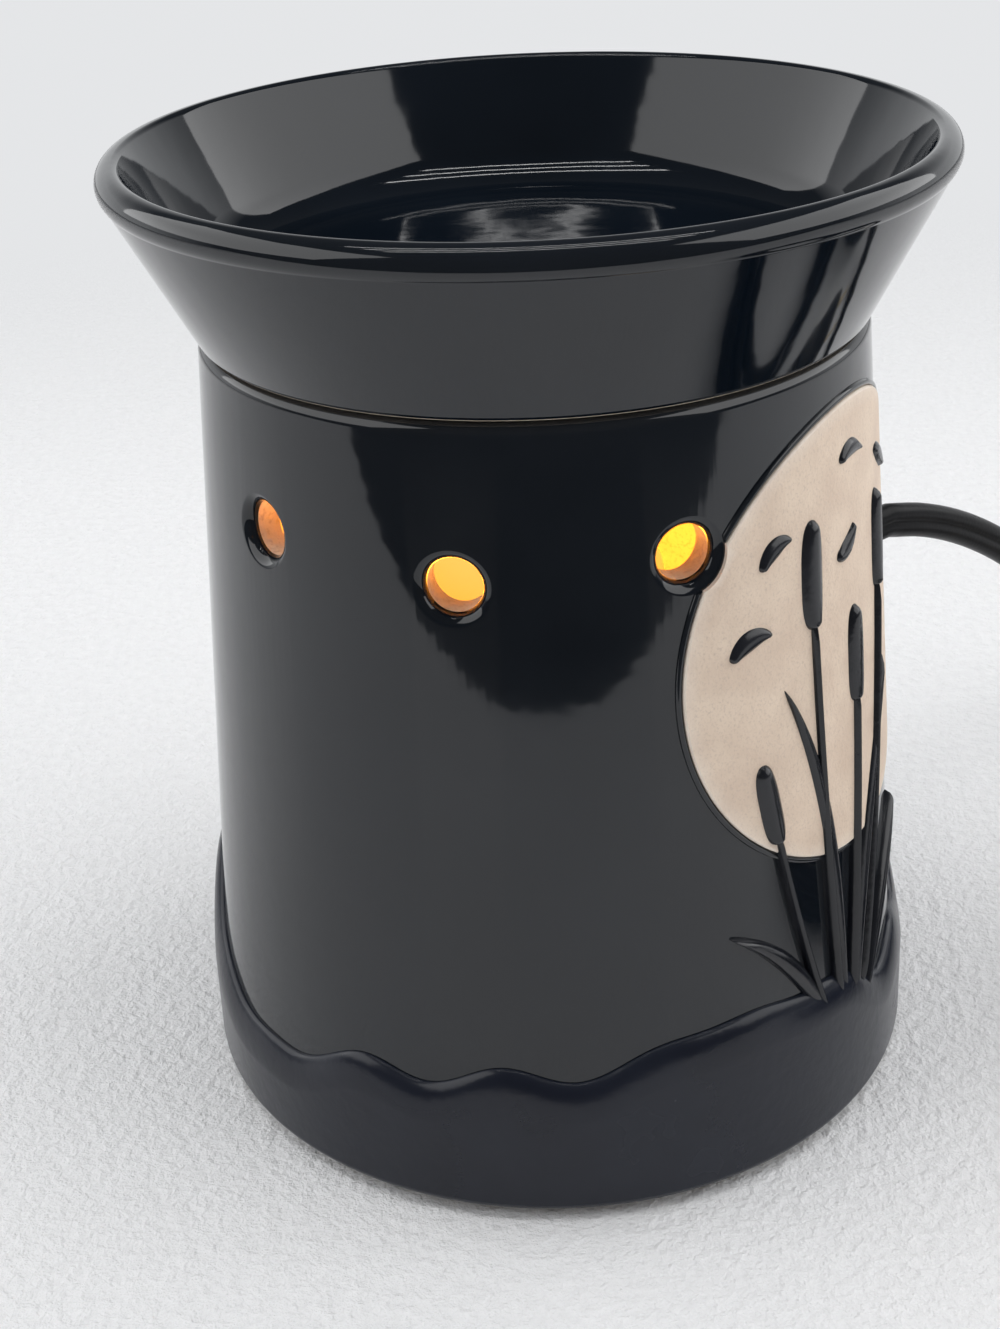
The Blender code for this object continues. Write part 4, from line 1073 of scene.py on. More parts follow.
@dataclass
class CeramicBody:
    """The slip-cast lamp body with its light holes, the hills along its foot, its disc and its reeds."""

    wall: Wall = Wall()
    thickness: float = 5.5 * MM
    shoulder_round: float = 1.8 * MM
    foot_round: float = 2.0 * MM
    edge_round: float = 0.8 * MM
    foot_inner: float = 50.9 * MM
    ledge_under: float = 7.0 * MM
    ledge_top: float = 12.0 * MM
    ledge_opening: float = 34.0 * MM
    hole_radius: float = 4.0 * MM
    hole_lip: float = 2.0 * MM
    lip_sweep: float = 70.0
    lip_clear: float = 0.85
    hole_height: float = 105.0 * MM
    hole_places: int = 10
    low_hole: int = 8
    low_hole_drop: float = 2.4 * MM
    cord_hole: float = 4.3 * MM
    disc_azimuth: float = 58.3
    disc_height: float = 84.0 * MM
    disc_radius: float = 35.0 * MM
    disc_relief: float = 0.7 * MM
    bead: float = 0.5 * MM
    band_relief: float = 1.2 * MM
    band_height: float = 24.0 * MM
    band_swell: float = 2.0 * MM
    band_roll: float = 6.0 * MM
    root: float = 2.0 * MM
    stroke_relief: float = 1.9 * MM

    # The hills' waves: how many go round, how high they are and the azimuth of a peak
    WAVES = (
        (3, 5.5 * MM, 8.0),
        (5, 3.0 * MM, 40.0),
        (2, 3.0 * MM, 70.0),
        (13, 1.1 * MM, 20.0),
        (17, 0.8 * MM, 75.0),
    )
    REEDS = (
        Stroke((50.0, 20.0), (46.5, 58.0), (45.5, 92.0), 0.95, Taper.STEM),
        Stroke((45.6, 88.0), (45.3, 96.0), (45.8, 105.0), 2.5, Taper.HEAD),
        Stroke((53.0, 20.0), (57.0, 50.0), (57.5, 76.0), 0.90, Taper.STEM),
        Stroke((57.4, 72.0), (57.8, 79.0), (57.6, 88.0), 2.4, Taper.HEAD),
        Stroke((47.0, 20.0), (40.0, 40.0), (36.0, 60.0), 0.85, Taper.STEM),
        Stroke((36.4, 57.0), (35.2, 63.0), (33.6, 71.0), 2.2, Taper.HEAD),
        Stroke((56.0, 20.0), (66.0, 55.0), (69.0, 90.0), 0.85, Taper.STEM),
        Stroke((68.8, 86.0), (69.6, 93.0), (69.4, 102.0), 2.3, Taper.HEAD),
        Stroke((51.0, 18.0), (51.5, 60.0), (38.0, 82.0), 1.7, Taper.LEAF),
        Stroke((54.0, 18.0), (60.0, 56.0), (73.0, 74.0), 1.8, Taper.LEAF),
        Stroke((48.0, 18.0), (40.0, 38.0), (27.0, 44.0), 1.6, Taper.LEAF),
        Stroke((57.0, 18.0), (70.0, 40.0), (81.0, 44.0), 1.6, Taper.LEAF),
    )
    LEAVES = (
        Stroke((28.5, 88.0), (31.5, 92.0), (36.5, 90.5), 2.0, Taper.LEAF),
        Stroke((34.5, 100.0), (37.0, 104.0), (41.0, 103.5), 1.8, Taper.LEAF),
        Stroke((52.5, 97.0), (56.0, 96.0), (58.5, 100.5), 1.9, Taper.LEAF),
        Stroke((54.0, 110.5), (58.0, 113.0), (62.0, 110.5), 1.7, Taper.LEAF),
        Stroke((76.0, 103.0), (73.5, 107.0), (69.5, 107.5), 1.8, Taper.LEAF),
    )
    REED_CLUSTERS = (0.0, 112.0, 180.0)

    def band_top(self, azimuth: float) -> float:
        """The height of the hills along the foot at an azimuth."""
        waves = ((size, math.radians(count * (azimuth - peak))) for count, size, peak in self.WAVES)
        return self.wall.bottom + self.band_height + sum(size * math.cos(angle) for size, angle in waves)

    def build(self) -> None:
        """Make the body's pieces."""
        self.make_shell()
        self.make_hills()
        self.make_disc()
        reeds = [self.raised(stroke, shift) for shift in self.REED_CLUSTERS for stroke in self.REEDS]
        leaves = [self.raised(stroke, 0.0) for stroke in self.LEAVES]
        for name, strokes in (("reeds", reeds), ("drifting_leaves", leaves)):
            make_piece(name, joined(strokes), [Look.ENAMEL], Body.ROOT, Slot.BODY_GLAZE)

    def make_shell(self) -> None:
        """The hollow body, glazed outside and bare clay inside and under its foot."""
        wall = self.wall
        inner = wall.radius_at(self.ledge_top) - self.thickness
        corners = [
            (wall.shoulder_radius - self.thickness, wall.top, self.edge_round),
            (wall.shoulder_radius, wall.top, self.shoulder_round),
            (wall.base_radius, wall.bottom, self.foot_round),
            (self.foot_inner, wall.bottom, self.edge_round),
            (self.foot_inner, self.ledge_under, self.edge_round),
            (self.ledge_opening, self.ledge_under, self.edge_round),
            (self.ledge_opening, self.ledge_top, self.edge_round),
            (inner, self.ledge_top, 2.0 * self.edge_round),
        ]
        shell = turned(filleted(corners, closed=True), 240, closed=True)
        holes = [self.light_hole(place) for place in range(1, self.hole_places)]
        middle = wall.radius_at(Lead.exit_height)
        relief_hole = bar(self.cord_hole, middle - 3 * self.thickness, middle + self.thickness)
        shell = cut(shell, [*holes, moved(relief_hole, Lead.exit_frame())])
        for face in shell.faces:
            face.material_index = int(self.is_bare(face.calc_center_median()))
        looks = [Look.GLAZE, Look.BISQUE]
        make_piece("body_shell", shell, looks, Body.ROOT, Slot.BODY_GLAZE, ["ceramic_body"])

    def is_bare(self, place: Vector) -> bool:
        """Whether a place on the shell has no glaze.

        Args:
            place: The place.

        Returns:
            True inside the shell and under its foot.
        """
        depth = self.wall.radius_at(place.z) - math.hypot(place.x, place.y)
        inside = depth > 0.55 * self.thickness and place.z < self.wall.top - self.shoulder_round
        return inside or place.z < self.wall.bottom + 0.2 * self.foot_round

    def hole_frame(self, place: int, height: float) -> Matrix:
        """The outward frame of a light hole, given its place in the ring, counted from the disc."""
        return outward_frame(self.disc_azimuth + 360.0 * place / self.hole_places, height)

    def light_hole(self, place: int) -> BMesh:
        """A cutter for one light hole, whose rounded lip follows the wall. One hole sits a little low.

        Args:
            place: The hole's place in the ring.

        Returns:
            The cutter.
        """
        middle = (self.hole_radius + self.hole_lip, -self.hole_lip)
        lip = arc(middle, self.hole_lip, 180.0, 180.0 - self.lip_sweep, 7)
        rise = GAP - lip[-1][1]
        out = (lip[-1][0] + rise * math.tan(math.radians(self.lip_sweep)), GAP)
        deep, far = -2.2 * self.thickness, self.thickness
        profile = [(0.0, deep), (self.hole_radius, deep), *lip, out, (out[0], far), (0.0, far)]
        hole = turned(profile, 64)
        height = self.hole_height - (self.low_hole_drop if place == self.low_hole else 0.0)
        for vertex in hole.verts:
            x, y, lift = vertex.co
            surface = math.sqrt(self.wall.radius_at(height + y) ** 2 - x**2)
            vertex.co.z = surface + lift
        return moved(hole, self.hole_frame(place, height))

    def make_hills(self) -> None:
        """The raised hills along the foot."""
        wall = self.wall
        low, high = wall.bottom + 0.07 * MM, wall.bottom + self.band_height
        roll_foot = high - self.band_roll
        crest = []
        for lift, rise in arc((0.0, 0.0), 1.0, 90.0, 0.0, 14):
            level = roll_foot + self.band_roll * rise
            crest.append((wall.radius_at(level) + self.band_swell * lift, level, 0.0))
        corners = [
            (wall.radius_at(high) - self.root, high, 0.0),
            *crest,
            (wall.radius_at(low) + self.band_relief, low, self.foot_round),
            (wall.radius_at(low) - self.root, low, 0.0),
        ]
        hills = turned(filleted(corners, closed=True), 360, closed=True)
        for vertex in hills.verts:
            x, y, z = vertex.co
            if z > roll_foot - MERGE:
                raised = z + self.band_top(math.degrees(math.atan2(x, -y))) - high
                grown = 1.0 + (wall.radius_at(raised) - wall.radius_at(z)) / math.hypot(x, y)
                vertex.co = (x * grown, y * grown, raised)
        make_piece("foot_hills", hills, [Look.SATIN], Body.ROOT, Slot.BODY_GLAZE)

    def make_disc(self) -> None:
        """The pale disc and the bead round it, which follow the wall and make way for the next hole."""
        rings = 14
        radii = [self.disc_radius * ring / rings for ring in range(rings)]
        edge = filleted(
            [
                (radii[-1], self.disc_relief, 0.0),
                (self.disc_radius, self.disc_relief, 0.6 * self.disc_relief),
                (self.disc_radius, -self.disc_relief, 0.0),
            ]
        )
        face = [(radius, self.disc_relief) for radius in radii[:-1]]
        under = [(radius, -self.disc_relief) for radius in reversed(radii)]
        disc = turned([*face, *edge, *under], 160)
        section = arc((self.disc_radius + self.bead, 0.0), self.bead, 0.0, 360.0, 16)[:-1]
        bead = turned(section, 160, closed=True)
        for name, shape, look in (("pale_disc", disc, Look.PALE), ("disc_bead", bead, Look.GLAZE)):
            laid = cut(self.laid_on_wall(shape), [self.lip_room(self.hole_places - 1)])
            make_piece(name, laid, [look], Body.ROOT, Slot.BODY_GLAZE)

    def lip_room(self, place: int) -> BMesh:
        """A cutter that keeps other relief off the lip of a hole, given its place in the ring."""
        room = bar(
            self.hole_radius + self.lip_clear * self.hole_lip, 0.0, 2.0 * self.wall.base_radius, steps=72
        )
        return moved(room, self.hole_frame(place, self.hole_height))

    def laid_on_wall(self, shape: BMesh) -> BMesh:
        """Bend a flat shape round the wall, with its middle at the disc's.

        Args:
            shape: The shape, which is changed.

        Returns:
            The same shape.
        """
        across = self.wall.radius_at(self.disc_height)
        for vertex in shape.verts:
            x, y, lift = vertex.co
            azimuth = self.disc_azimuth + math.degrees(x / across)
            vertex.co = self.wall.point(azimuth, self.disc_height + y, lift)
        return shape

    def raised(self, stroke: Stroke, shift: float) -> BMesh:
        """A domed stroke on the wall.

        Args:
            stroke: Its spine and width.
            shift: How far round the wall it is moved, in degrees.

        Returns:
            The closed shape, rooted in the wall.
        """
        shape = rod(36, 16)
        step, root = 0.01, -0.4 * self.disc_relief
        for vertex in shape.verts:
            share = vertex.co.z + 0.5
            angle = math.atan2(vertex.co.y, vertex.co.x)
            azimuth, height = stroke.spine(share)
            before, after = stroke.spine(share - step), stroke.spine(share + step)
            scale = math.radians(1.0) * self.wall.radius_at(height)
            onward = Vector(((after[0] - before[0]) * scale, after[1] - before[1])).normalized()
            half = stroke.half(share) * math.cos(angle)
            lift = root + (self.stroke_relief * stroke.crest(share) - root) * max(0.0, math.sin(angle))
            turned_azimuth = shift + azimuth - onward.y * half / scale
            vertex.co = self.wall.point(turned_azimuth, height + onward.x * half, lift)
        return face_out(shape)


@dataclass
class WaxDish:
    """The lift-off dish: a flared bowl with a beaded rim and a ring that drops into the body's mouth."""

    seat: float = 125.9 * MM
    height: float = 26.1 * MM
    rim_radius: float = 62.1 * MM
    foot_radius: float = 50.5 * MM
    bead: float = 2.6 * MM
    bead_sweep: float = 50.0
    lip: float = 1.2 * MM
    wall: float = 5.0 * MM
    floor: float = 5.0 * MM
    fillet: float = 9.0 * MM
    ring_outer: float = 43.7 * MM
    ring_width: float = 3.2 * MM
    ring_depth: float = 3.6 * MM
    hollow: float = 1.6 * MM
    edge: float = 0.7 * MM
    steps: int = 240

    def build(self) -> None:
        """Make the dish."""
        top = self.seat + self.height
        bead = (self.rim_radius - self.bead, top - self.bead)
        floor = self.seat + self.hollow + self.floor
        foot_high = self.seat + self.edge
        sweep = math.radians(self.bead_sweep)
        under = (bead[0] + self.bead * math.cos(sweep), bead[1] - self.bead * math.sin(sweep))
        slope = (under[0] - self.foot_radius) / (under[1] - foot_high)
        tilt = math.degrees(math.atan(slope))
        inner_foot = self.foot_radius + slope * (floor - foot_high) - self.wall
        fillet_x = inner_foot - self.fillet * math.tan(math.radians((90.0 - tilt) / 2))
        ring_inner = self.ring_outer - self.ring_width
        low = self.seat - self.ring_depth
        hollow = Vector((fillet_x, floor + self.fillet))
        lip = Vector((bead[0], top - self.lip))
        reach = lip - hollow
        lean = math.atan2(reach.y, reach.x) - math.acos((self.fillet + self.lip) / reach.length)
        wall = math.degrees(lean)
        profile = [(0.0, floor), (fillet_x / 2, floor)]
        profile += arc(tuple(hollow), self.fillet, -90.0, wall, 12)
        profile += arc(tuple(lip), self.lip, 180.0 + wall, 90.0, 10)
        profile += arc(bead, self.bead, 90.0, -self.bead_sweep, 18)[1:]
        outside = [
            (*under, 0.0),
            (self.foot_radius, foot_high, self.edge),
            (self.foot_radius - self.edge, self.seat, self.edge),
            (self.ring_outer, self.seat, 0.5 * self.edge),
            (self.ring_outer, low, self.edge),
            (ring_inner, low, self.edge),
            (ring_inner, self.seat + self.hollow, self.edge),
            (0.0, self.seat + self.hollow, 0.0),
        ]
        profile += filleted(outside)[1:]
        dish = turned(profile, self.steps)
        for face in dish.faces:
            face.material_index = int(face.calc_center_median().z < self.seat + 0.3 * self.edge)
        looks = [Look.GLAZE, Look.BISQUE]
        make_piece("glazed_dish", dish, looks, Body.DISH, Slot.DISH_GLAZE, ["wax_dish"])


# Lamp


@dataclass(frozen=True)
class Thread:
    """A right-hand screw thread."""

    pitch: float = 2.82 * MM
    half_depth: float = 0.4 * MM
    levels_per_turn: int = 14

    def levels(self, low: float, high: float) -> list[float]:
        """Heights for a threaded wall, from high to low."""
        count = math.ceil((high - low) / self.pitch * self.levels_per_turn)
        return [high + (low - high) * step / count for step in range(count + 1)]

    def press(self, shape: BMesh, radius: float, low: float, high: float) -> None:
        """Press the thread into a turned wall.

        Args:
            shape: The shape to change.
            radius: The wall's radius.
            low: Where the thread starts.
            high: Where it ends.
        """
        for vertex in shape.verts:
            x, y, z = vertex.co
            if abs(math.hypot(x, y) - radius) < 5 * MERGE and low <= z <= high:
                fade = min(1.0, (z - low) / (self.pitch / 2), (high - z) / (self.pitch / 2))
                phase = TURN * z / self.pitch - math.atan2(y, x)
                grown = 1.0 + self.half_depth * fade * math.cos(phase) / radius
                vertex.co = (x * grown, y * grown, z)
        bmesh.ops.recalc_face_normals(shape, faces=shape.faces)


@dataclass
class Bulb:
    """The small screw-in reflector bulb."""

    thread: Thread = Thread()
    thread_radius: float = 7.85 * MM
    contact_bottom: float = 26.3 * MM
    contact_radius: float = 2.6 * MM
    contact_height: float = 1.2 * MM
    insulator_radius: float = 6.4 * MM
    insulator_height: float = 2.2 * MM
    cap_bottom: float = 30.0 * MM
    cap_length: float = 15.0 * MM
    cap_wall: float = 0.6 * MM
    radius: float = 19.5 * MM
    glass_height: float = 47.0 * MM
    crown: float = 11.0 * MM
    glass_wall: float = 0.8 * MM
    neck: float = 6.0 * MM
    neck_depth: float = 8.0 * MM
    flare: float = 1.35
    steps: int = 96

    @property
    def cap_top(self) -> float:
        """The height of the cap's upper edge."""
        return self.cap_bottom + self.cap_length

    @property
    def glass_bottom(self) -> float:
        """The height at which the glass leaves the cap."""
        return self.cap_top + GAP

    def build(self, frame: dict) -> None:
        """Make the bulb's pieces.

        Args:
            frame: The CAD frame, whose stem and filament stay.
        """
        self.make_glass()
        self.make_cap()
        self.make_contact()
        dress(frame, Look.CLEAR, "bulb_stem")
        dress(frame, Look.FILAMENT, "bulb_filament")

    def outline(self, inset: float) -> list[Point2]:
        """The glass's outline.

        Args:
            inset: How far it lies inside the outer surface.

        Returns:
            Its points from crown to neck.
        """
        count = 18
        shoulder = self.glass_bottom + self.glass_height - self.crown
        wide, root = self.radius - inset, self.thread_radius - inset
        points = [(0.0, shoulder + self.crown - inset)]
        for step in range(1, count + 1):
            angle = math.radians(90.0 - 90.0 * step / count)
            points.append((wide * math.cos(angle), shoulder + (self.crown - inset) * math.sin(angle)))
        for step in range(1, count + 1):
            share = 1.0 - step / count
            height = self.glass_bottom + (shoulder - self.glass_bottom) * share
            points.append((root + (wide - root) * math.sin(share * math.pi / 2) ** self.flare, height))
        return points

    def make_glass(self) -> None:
        """The hollow glass, open at the end of its neck inside the cap."""
        low = self.glass_bottom - self.neck_depth
        inner_neck = self.neck - self.glass_wall
        outside = [*self.outline(0.0), (self.neck, self.glass_bottom), (self.neck, low)]
        inside = [(inner_neck, low), (inner_neck, self.glass_bottom + self.glass_wall)]
        inside += self.outline(self.glass_wall)[-2::-1]
        glass = turned(outside + inside, self.steps)
        make_piece("frosted_bulb", glass, [Look.GLOW], Body.BULB, Slot.BULB_GLASS, ["bulb_glass"])

    def make_cap(self) -> None:
        """The threaded cap."""
        pitch = self.thread.pitch
        levels = self.thread.levels(self.cap_bottom + pitch / 3, self.cap_top - pitch / 2)
        bore = self.thread_radius - self.thread.half_depth - self.cap_wall
        wall = [(self.thread_radius, self.cap_top)] + [(self.thread_radius, level) for level in levels]
        foot = [(self.insulator_radius + GAP, self.cap_bottom), (self.contact_radius, self.cap_bottom)]
        inner_low = self.cap_bottom + self.cap_wall
        inside = [(self.contact_radius, inner_low), (bore - self.cap_wall, inner_low)]
        inside += [(bore, inner_low + self.cap_wall), (bore, self.cap_top)]
        cap = turned(wall + foot + inside, self.steps, closed=True)
        self.thread.press(cap, self.thread_radius, levels[-1], levels[0])
        make_piece("threaded_cap", cap, [Look.CAP], Body.BULB, Slot.CAP_METAL, ["bulb_cap"])

    def make_contact(self) -> None:
        """The dark insulator and the solder tip under it."""
        tip_top = self.contact_bottom + self.contact_height
        profile = filleted(
            [
                (0.0, tip_top + self.insulator_height, 0.0),
                (self.insulator_radius, tip_top + self.insulator_height, 0.3 * MM),
                (self.contact_radius, tip_top, 0.2 * MM),
                (0.8 * self.contact_radius, self.contact_bottom, 0.8 * MM),
                (0.0, self.contact_bottom, 0.0),
            ]
        )
        contact = turned(profile, 64)
        for face in contact.faces:
            face.material_index = int(face.calc_center_median().z < tip_top)
        looks = [Look.INSULATOR, Look.SOLDER]
        nodes = ["bulb_contact"]
        make_piece("centre_contact", contact, looks, Body.BULB_LIFT, Slot.CAP_INSULATOR, nodes)


@dataclass
class LampHolder:
    """The insulating lamp holder, its threaded shell and the two wires that reach it."""

    thread: Thread = Thread()
    bottom: float = 14.2 * MM
    height: float = 32.0 * MM
    floor: float = 9.0 * MM
    step: float = 5.6 * MM
    nipple_radius: float = 4.9 * MM
    nipple_grip: float = 6.0 * MM
    shell_bore: float = 8.45 * MM
    shell_outer: float = 9.35 * MM
    shell_drop: float = 0.8 * MM
    pocket_radius: float = 9.65 * MM
    radius: float = 13.95 * MM
    groove: float = 0.5 * MM
    terminal_height: float = 7.0 * MM
    terminal_spread: float = 40.0
    terminal_radius: float = 2.4 * MM
    terminal_length: float = 2.2 * MM
    wire_radius: float = 0.9 * MM
    wire_spread: float = 3.2 * MM
    steps: int = 96

    # A wire's way down, as shares of its drop, its way in and the wires' spread, and then how it lands
    WIRE_FALL = ((0.0, 0.0, 0.5), (0.0, 0.12, 0.5), (0.18, 0.30, 1.0), (0.48, 0.40, 1.6))
    WIRE_LANDING = ((0.18, 0.28), (0.06, 0.0), (0.0, 0.0))

    def build(self, frame: dict) -> None:
        """Make the holder's pieces and dress its small metal parts.

        Args:
            frame: The CAD frame.
        """
        self.make_cup()
        self.make_shell()
        for number, side in SIDES:
            self.make_wire(number, side)
        dress(frame, Look.BRASS, "socket_tongue", "terminal_screw_1", "terminal_screw_2")
        dress(frame, Look.ZINC, "socket_nipple", "socket_nut", "socket_bridge")

    def make_cup(self) -> None:
        """The insulating cup, with two grooves round it."""
        top, pocket = self.bottom + self.height, self.bottom + self.floor
        step_top = pocket + self.step
        inner = self.shell_bore - self.thread.half_depth
        bore, bore_top = self.nipple_radius + GAP, self.bottom + self.nipple_grip
        outside: list[Corner] = [(self.pocket_radius, top, 0.5 * MM), (self.radius, top, 0.8 * MM)]
        for share in (0.78, 0.52):
            level = self.bottom + self.height * share
            for rise, depth in ((1.0, 0.0), (0.6, 1.0), (-0.6, 1.0), (-1.0, 0.0)):
                outside.append((self.radius - depth * self.groove, level + rise * MM, 0.2 * MM))
        outside += [(self.radius, self.bottom, 0.8 * MM), (bore, self.bottom, 0.3 * MM)]
        outside += [(bore, bore_top, 0.0), (0.0, bore_top, 0.0)]
        well = [(0.0, pocket, 0.0), (inner, pocket, 0.3 * MM), (inner, step_top, 0.3 * MM)]
        well += [(self.pocket_radius, step_top, 0.0)]
        cup = turned(filleted([*well, *outside], steps=4), self.steps)
        make_piece("holder_cup", cup, [Look.PHENOLIC], Body.ROOT, Slot.HOLDER, ["socket_body"])

    def make_shell(self) -> None:
        """The threaded brass shell."""
        low = self.bottom + self.floor + self.step + GAP
        high = self.bottom + self.height - self.shell_drop
        bore = [(self.shell_bore, level) for level in reversed(self.thread.levels(low, high))]
        profile = [(self.shell_outer, high), (self.shell_outer, low), *bore]
        shell = turned(profile, self.steps, closed=True)
        self.thread.press(shell, self.shell_bore, low, high)
        make_piece("holder_shell", shell, [Look.BRASS], Body.ROOT, Slot.BRASS, ["socket_shell"])

    def make_wire(self, number: int, side: float) -> None:
        """One sleeved wire from the strain relief down to a terminal screw.

        Args:
            number: Its number.
            side: Its side of the lead, -1 or 1.
        """
        level = self.bottom + self.terminal_height
        terminal = outward_frame(Lead.exit_azimuth + side * self.terminal_spread, level)
        start = Lead.relief_inner_end - GAP
        head = self.radius + GAP + self.terminal_length / 2
        landing = self.terminal_radius + GAP
        drop, bow = Lead.exit_height - level, start - head
        route = []
        for fall, inward, spread in self.WIRE_FALL:
            place = Vector((side * self.wire_spread * spread, -drop * fall, start - bow * inward))
            route.append(Lead.exit_frame() @ place)
        for rise, outward in self.WIRE_LANDING:
            route.append(terminal @ Vector((0.0, landing + drop * rise, head + bow * outward)))
        wire = swept(smooth_route(route, 1.2 * MM), self.wire_section, 16)
        node = f"lead_wire_{number}"
        make_piece(f"sleeved_wire_{number}", wire, [Look.SLEEVE], Body.ROOT, Slot.SLEEVE, [node])

    def wire_section(self, angle: float) -> Point2:
        """A wire's round section."""
        return self.wire_radius * math.cos(angle), self.wire_radius * math.sin(angle)


@dataclass
class Underside:
    """The vented plate under the ledge, its screws and the rubber pads."""

    plate_radius: float = 46.0 * MM
    plate_bottom: float = 5.5 * MM
    plate_top: float = 6.7 * MM
    vents: int = 8
    vent_radius: float = 2.6 * MM
    vent_circle: float = 20.0 * MM
    screw_circle: float = 29.5 * MM
    screw_radius: float = 1.5 * MM
    screw_top: float = 15.1 * MM
    head_radius: float = 3.0 * MM
    head_height: float = 1.8 * MM
    recess_width: float = 0.8 * MM
    recess_length: float = 3.2 * MM
    recess_depth: float = 0.9 * MM
    pad_radius: float = 2.3 * MM
    pad_height: float = 1.3 * MM
    pad_circle: float = 53.65 * MM
    pads: int = 4

    def build(self) -> None:
        """Make the plate, screws and pads."""
        edge, cutters = 0.4 * MM, []
        for number in range(self.vents):
            angle = TURN * (number + 0.5) / self.vents
            place = Vector((math.cos(angle), math.sin(angle), 0.0)) * self.vent_circle
            cutters.append(shifted(bar(self.vent_radius, 0.0, self.screw_top), place))
        for _, side in SIDES:
            hole = bar(self.screw_radius + GAP, 0.0, self.screw_top)
            cutters.append(shifted(hole, (side * self.screw_circle, 0.0, 0.0)))
        disc = bar(self.plate_radius, self.plate_bottom, self.plate_top, 128, (edge, edge))
        plate = cut(disc, cutters)
        make_piece("vented_plate", plate, [Look.POWDER], Body.ROOT, Slot.PLATE, ["base_plate"])
        for number, side in SIDES:
            self.make_screw(number, side * self.screw_circle)
        for number in range(self.pads):
            self.make_pad(number)

    def make_screw(self, number: int, x: float) -> None:
        """A pan-head screw with a crossed recess in its head.

        Args:
            number: Its number.
            x: Its place.
        """
        low = self.plate_bottom - GAP - self.head_height
        corners = [
            (0.0, self.screw_top, 0.0),
            (self.screw_radius, self.screw_top, 0.3 * MM),
            (self.screw_radius, low + self.head_height, 0.0),
            (self.head_radius, low + self.head_height, 0.2 * MM),
            (self.head_radius, low, 0.9 * MM),
            (0.0, low, 0.0),
        ]
        shank = turned(filleted(corners), 48)
        size = (self.recess_length, self.recess_width, 2 * self.recess_depth)
        for turn in (0.0, TURN / 4):
            arm = moved(rounded_block(size, 0.15 * MM), Matrix.Rotation(turn, 4, "Z"))
            shank = cut(shank, [shifted(arm, (0.0, 0.0, low))])
        screw = shifted(shank, (x, 0.0, 0.0))
        node = f"plate_screw_{number}"
        make_piece(f"pan_screw_{number}", screw, [Look.ZINC], Body.ROOT, Slot.ZINC, [node])

    def make_pad(self, number: int) -> None:
        """One rubber pad under the foot ring.

        Args:
            number: Its place in the ring.
        """
        angle = math.radians(360.0 * (number + 0.5) / self.pads)
        place = Vector((math.sin(angle), -math.cos(angle), 0.0)) * self.pad_circle
        pad = shifted(bar(self.pad_radius, 0.0, self.pad_height, 40, (0.5 * MM, 0.2 * MM)), place)
        node = f"foot_pad_{number + 1}"
        make_piece(f"rubber_pad_{number + 1}", pad, [Look.RUBBER], Body.ROOT, Slot.PAD, [node])


# Lead


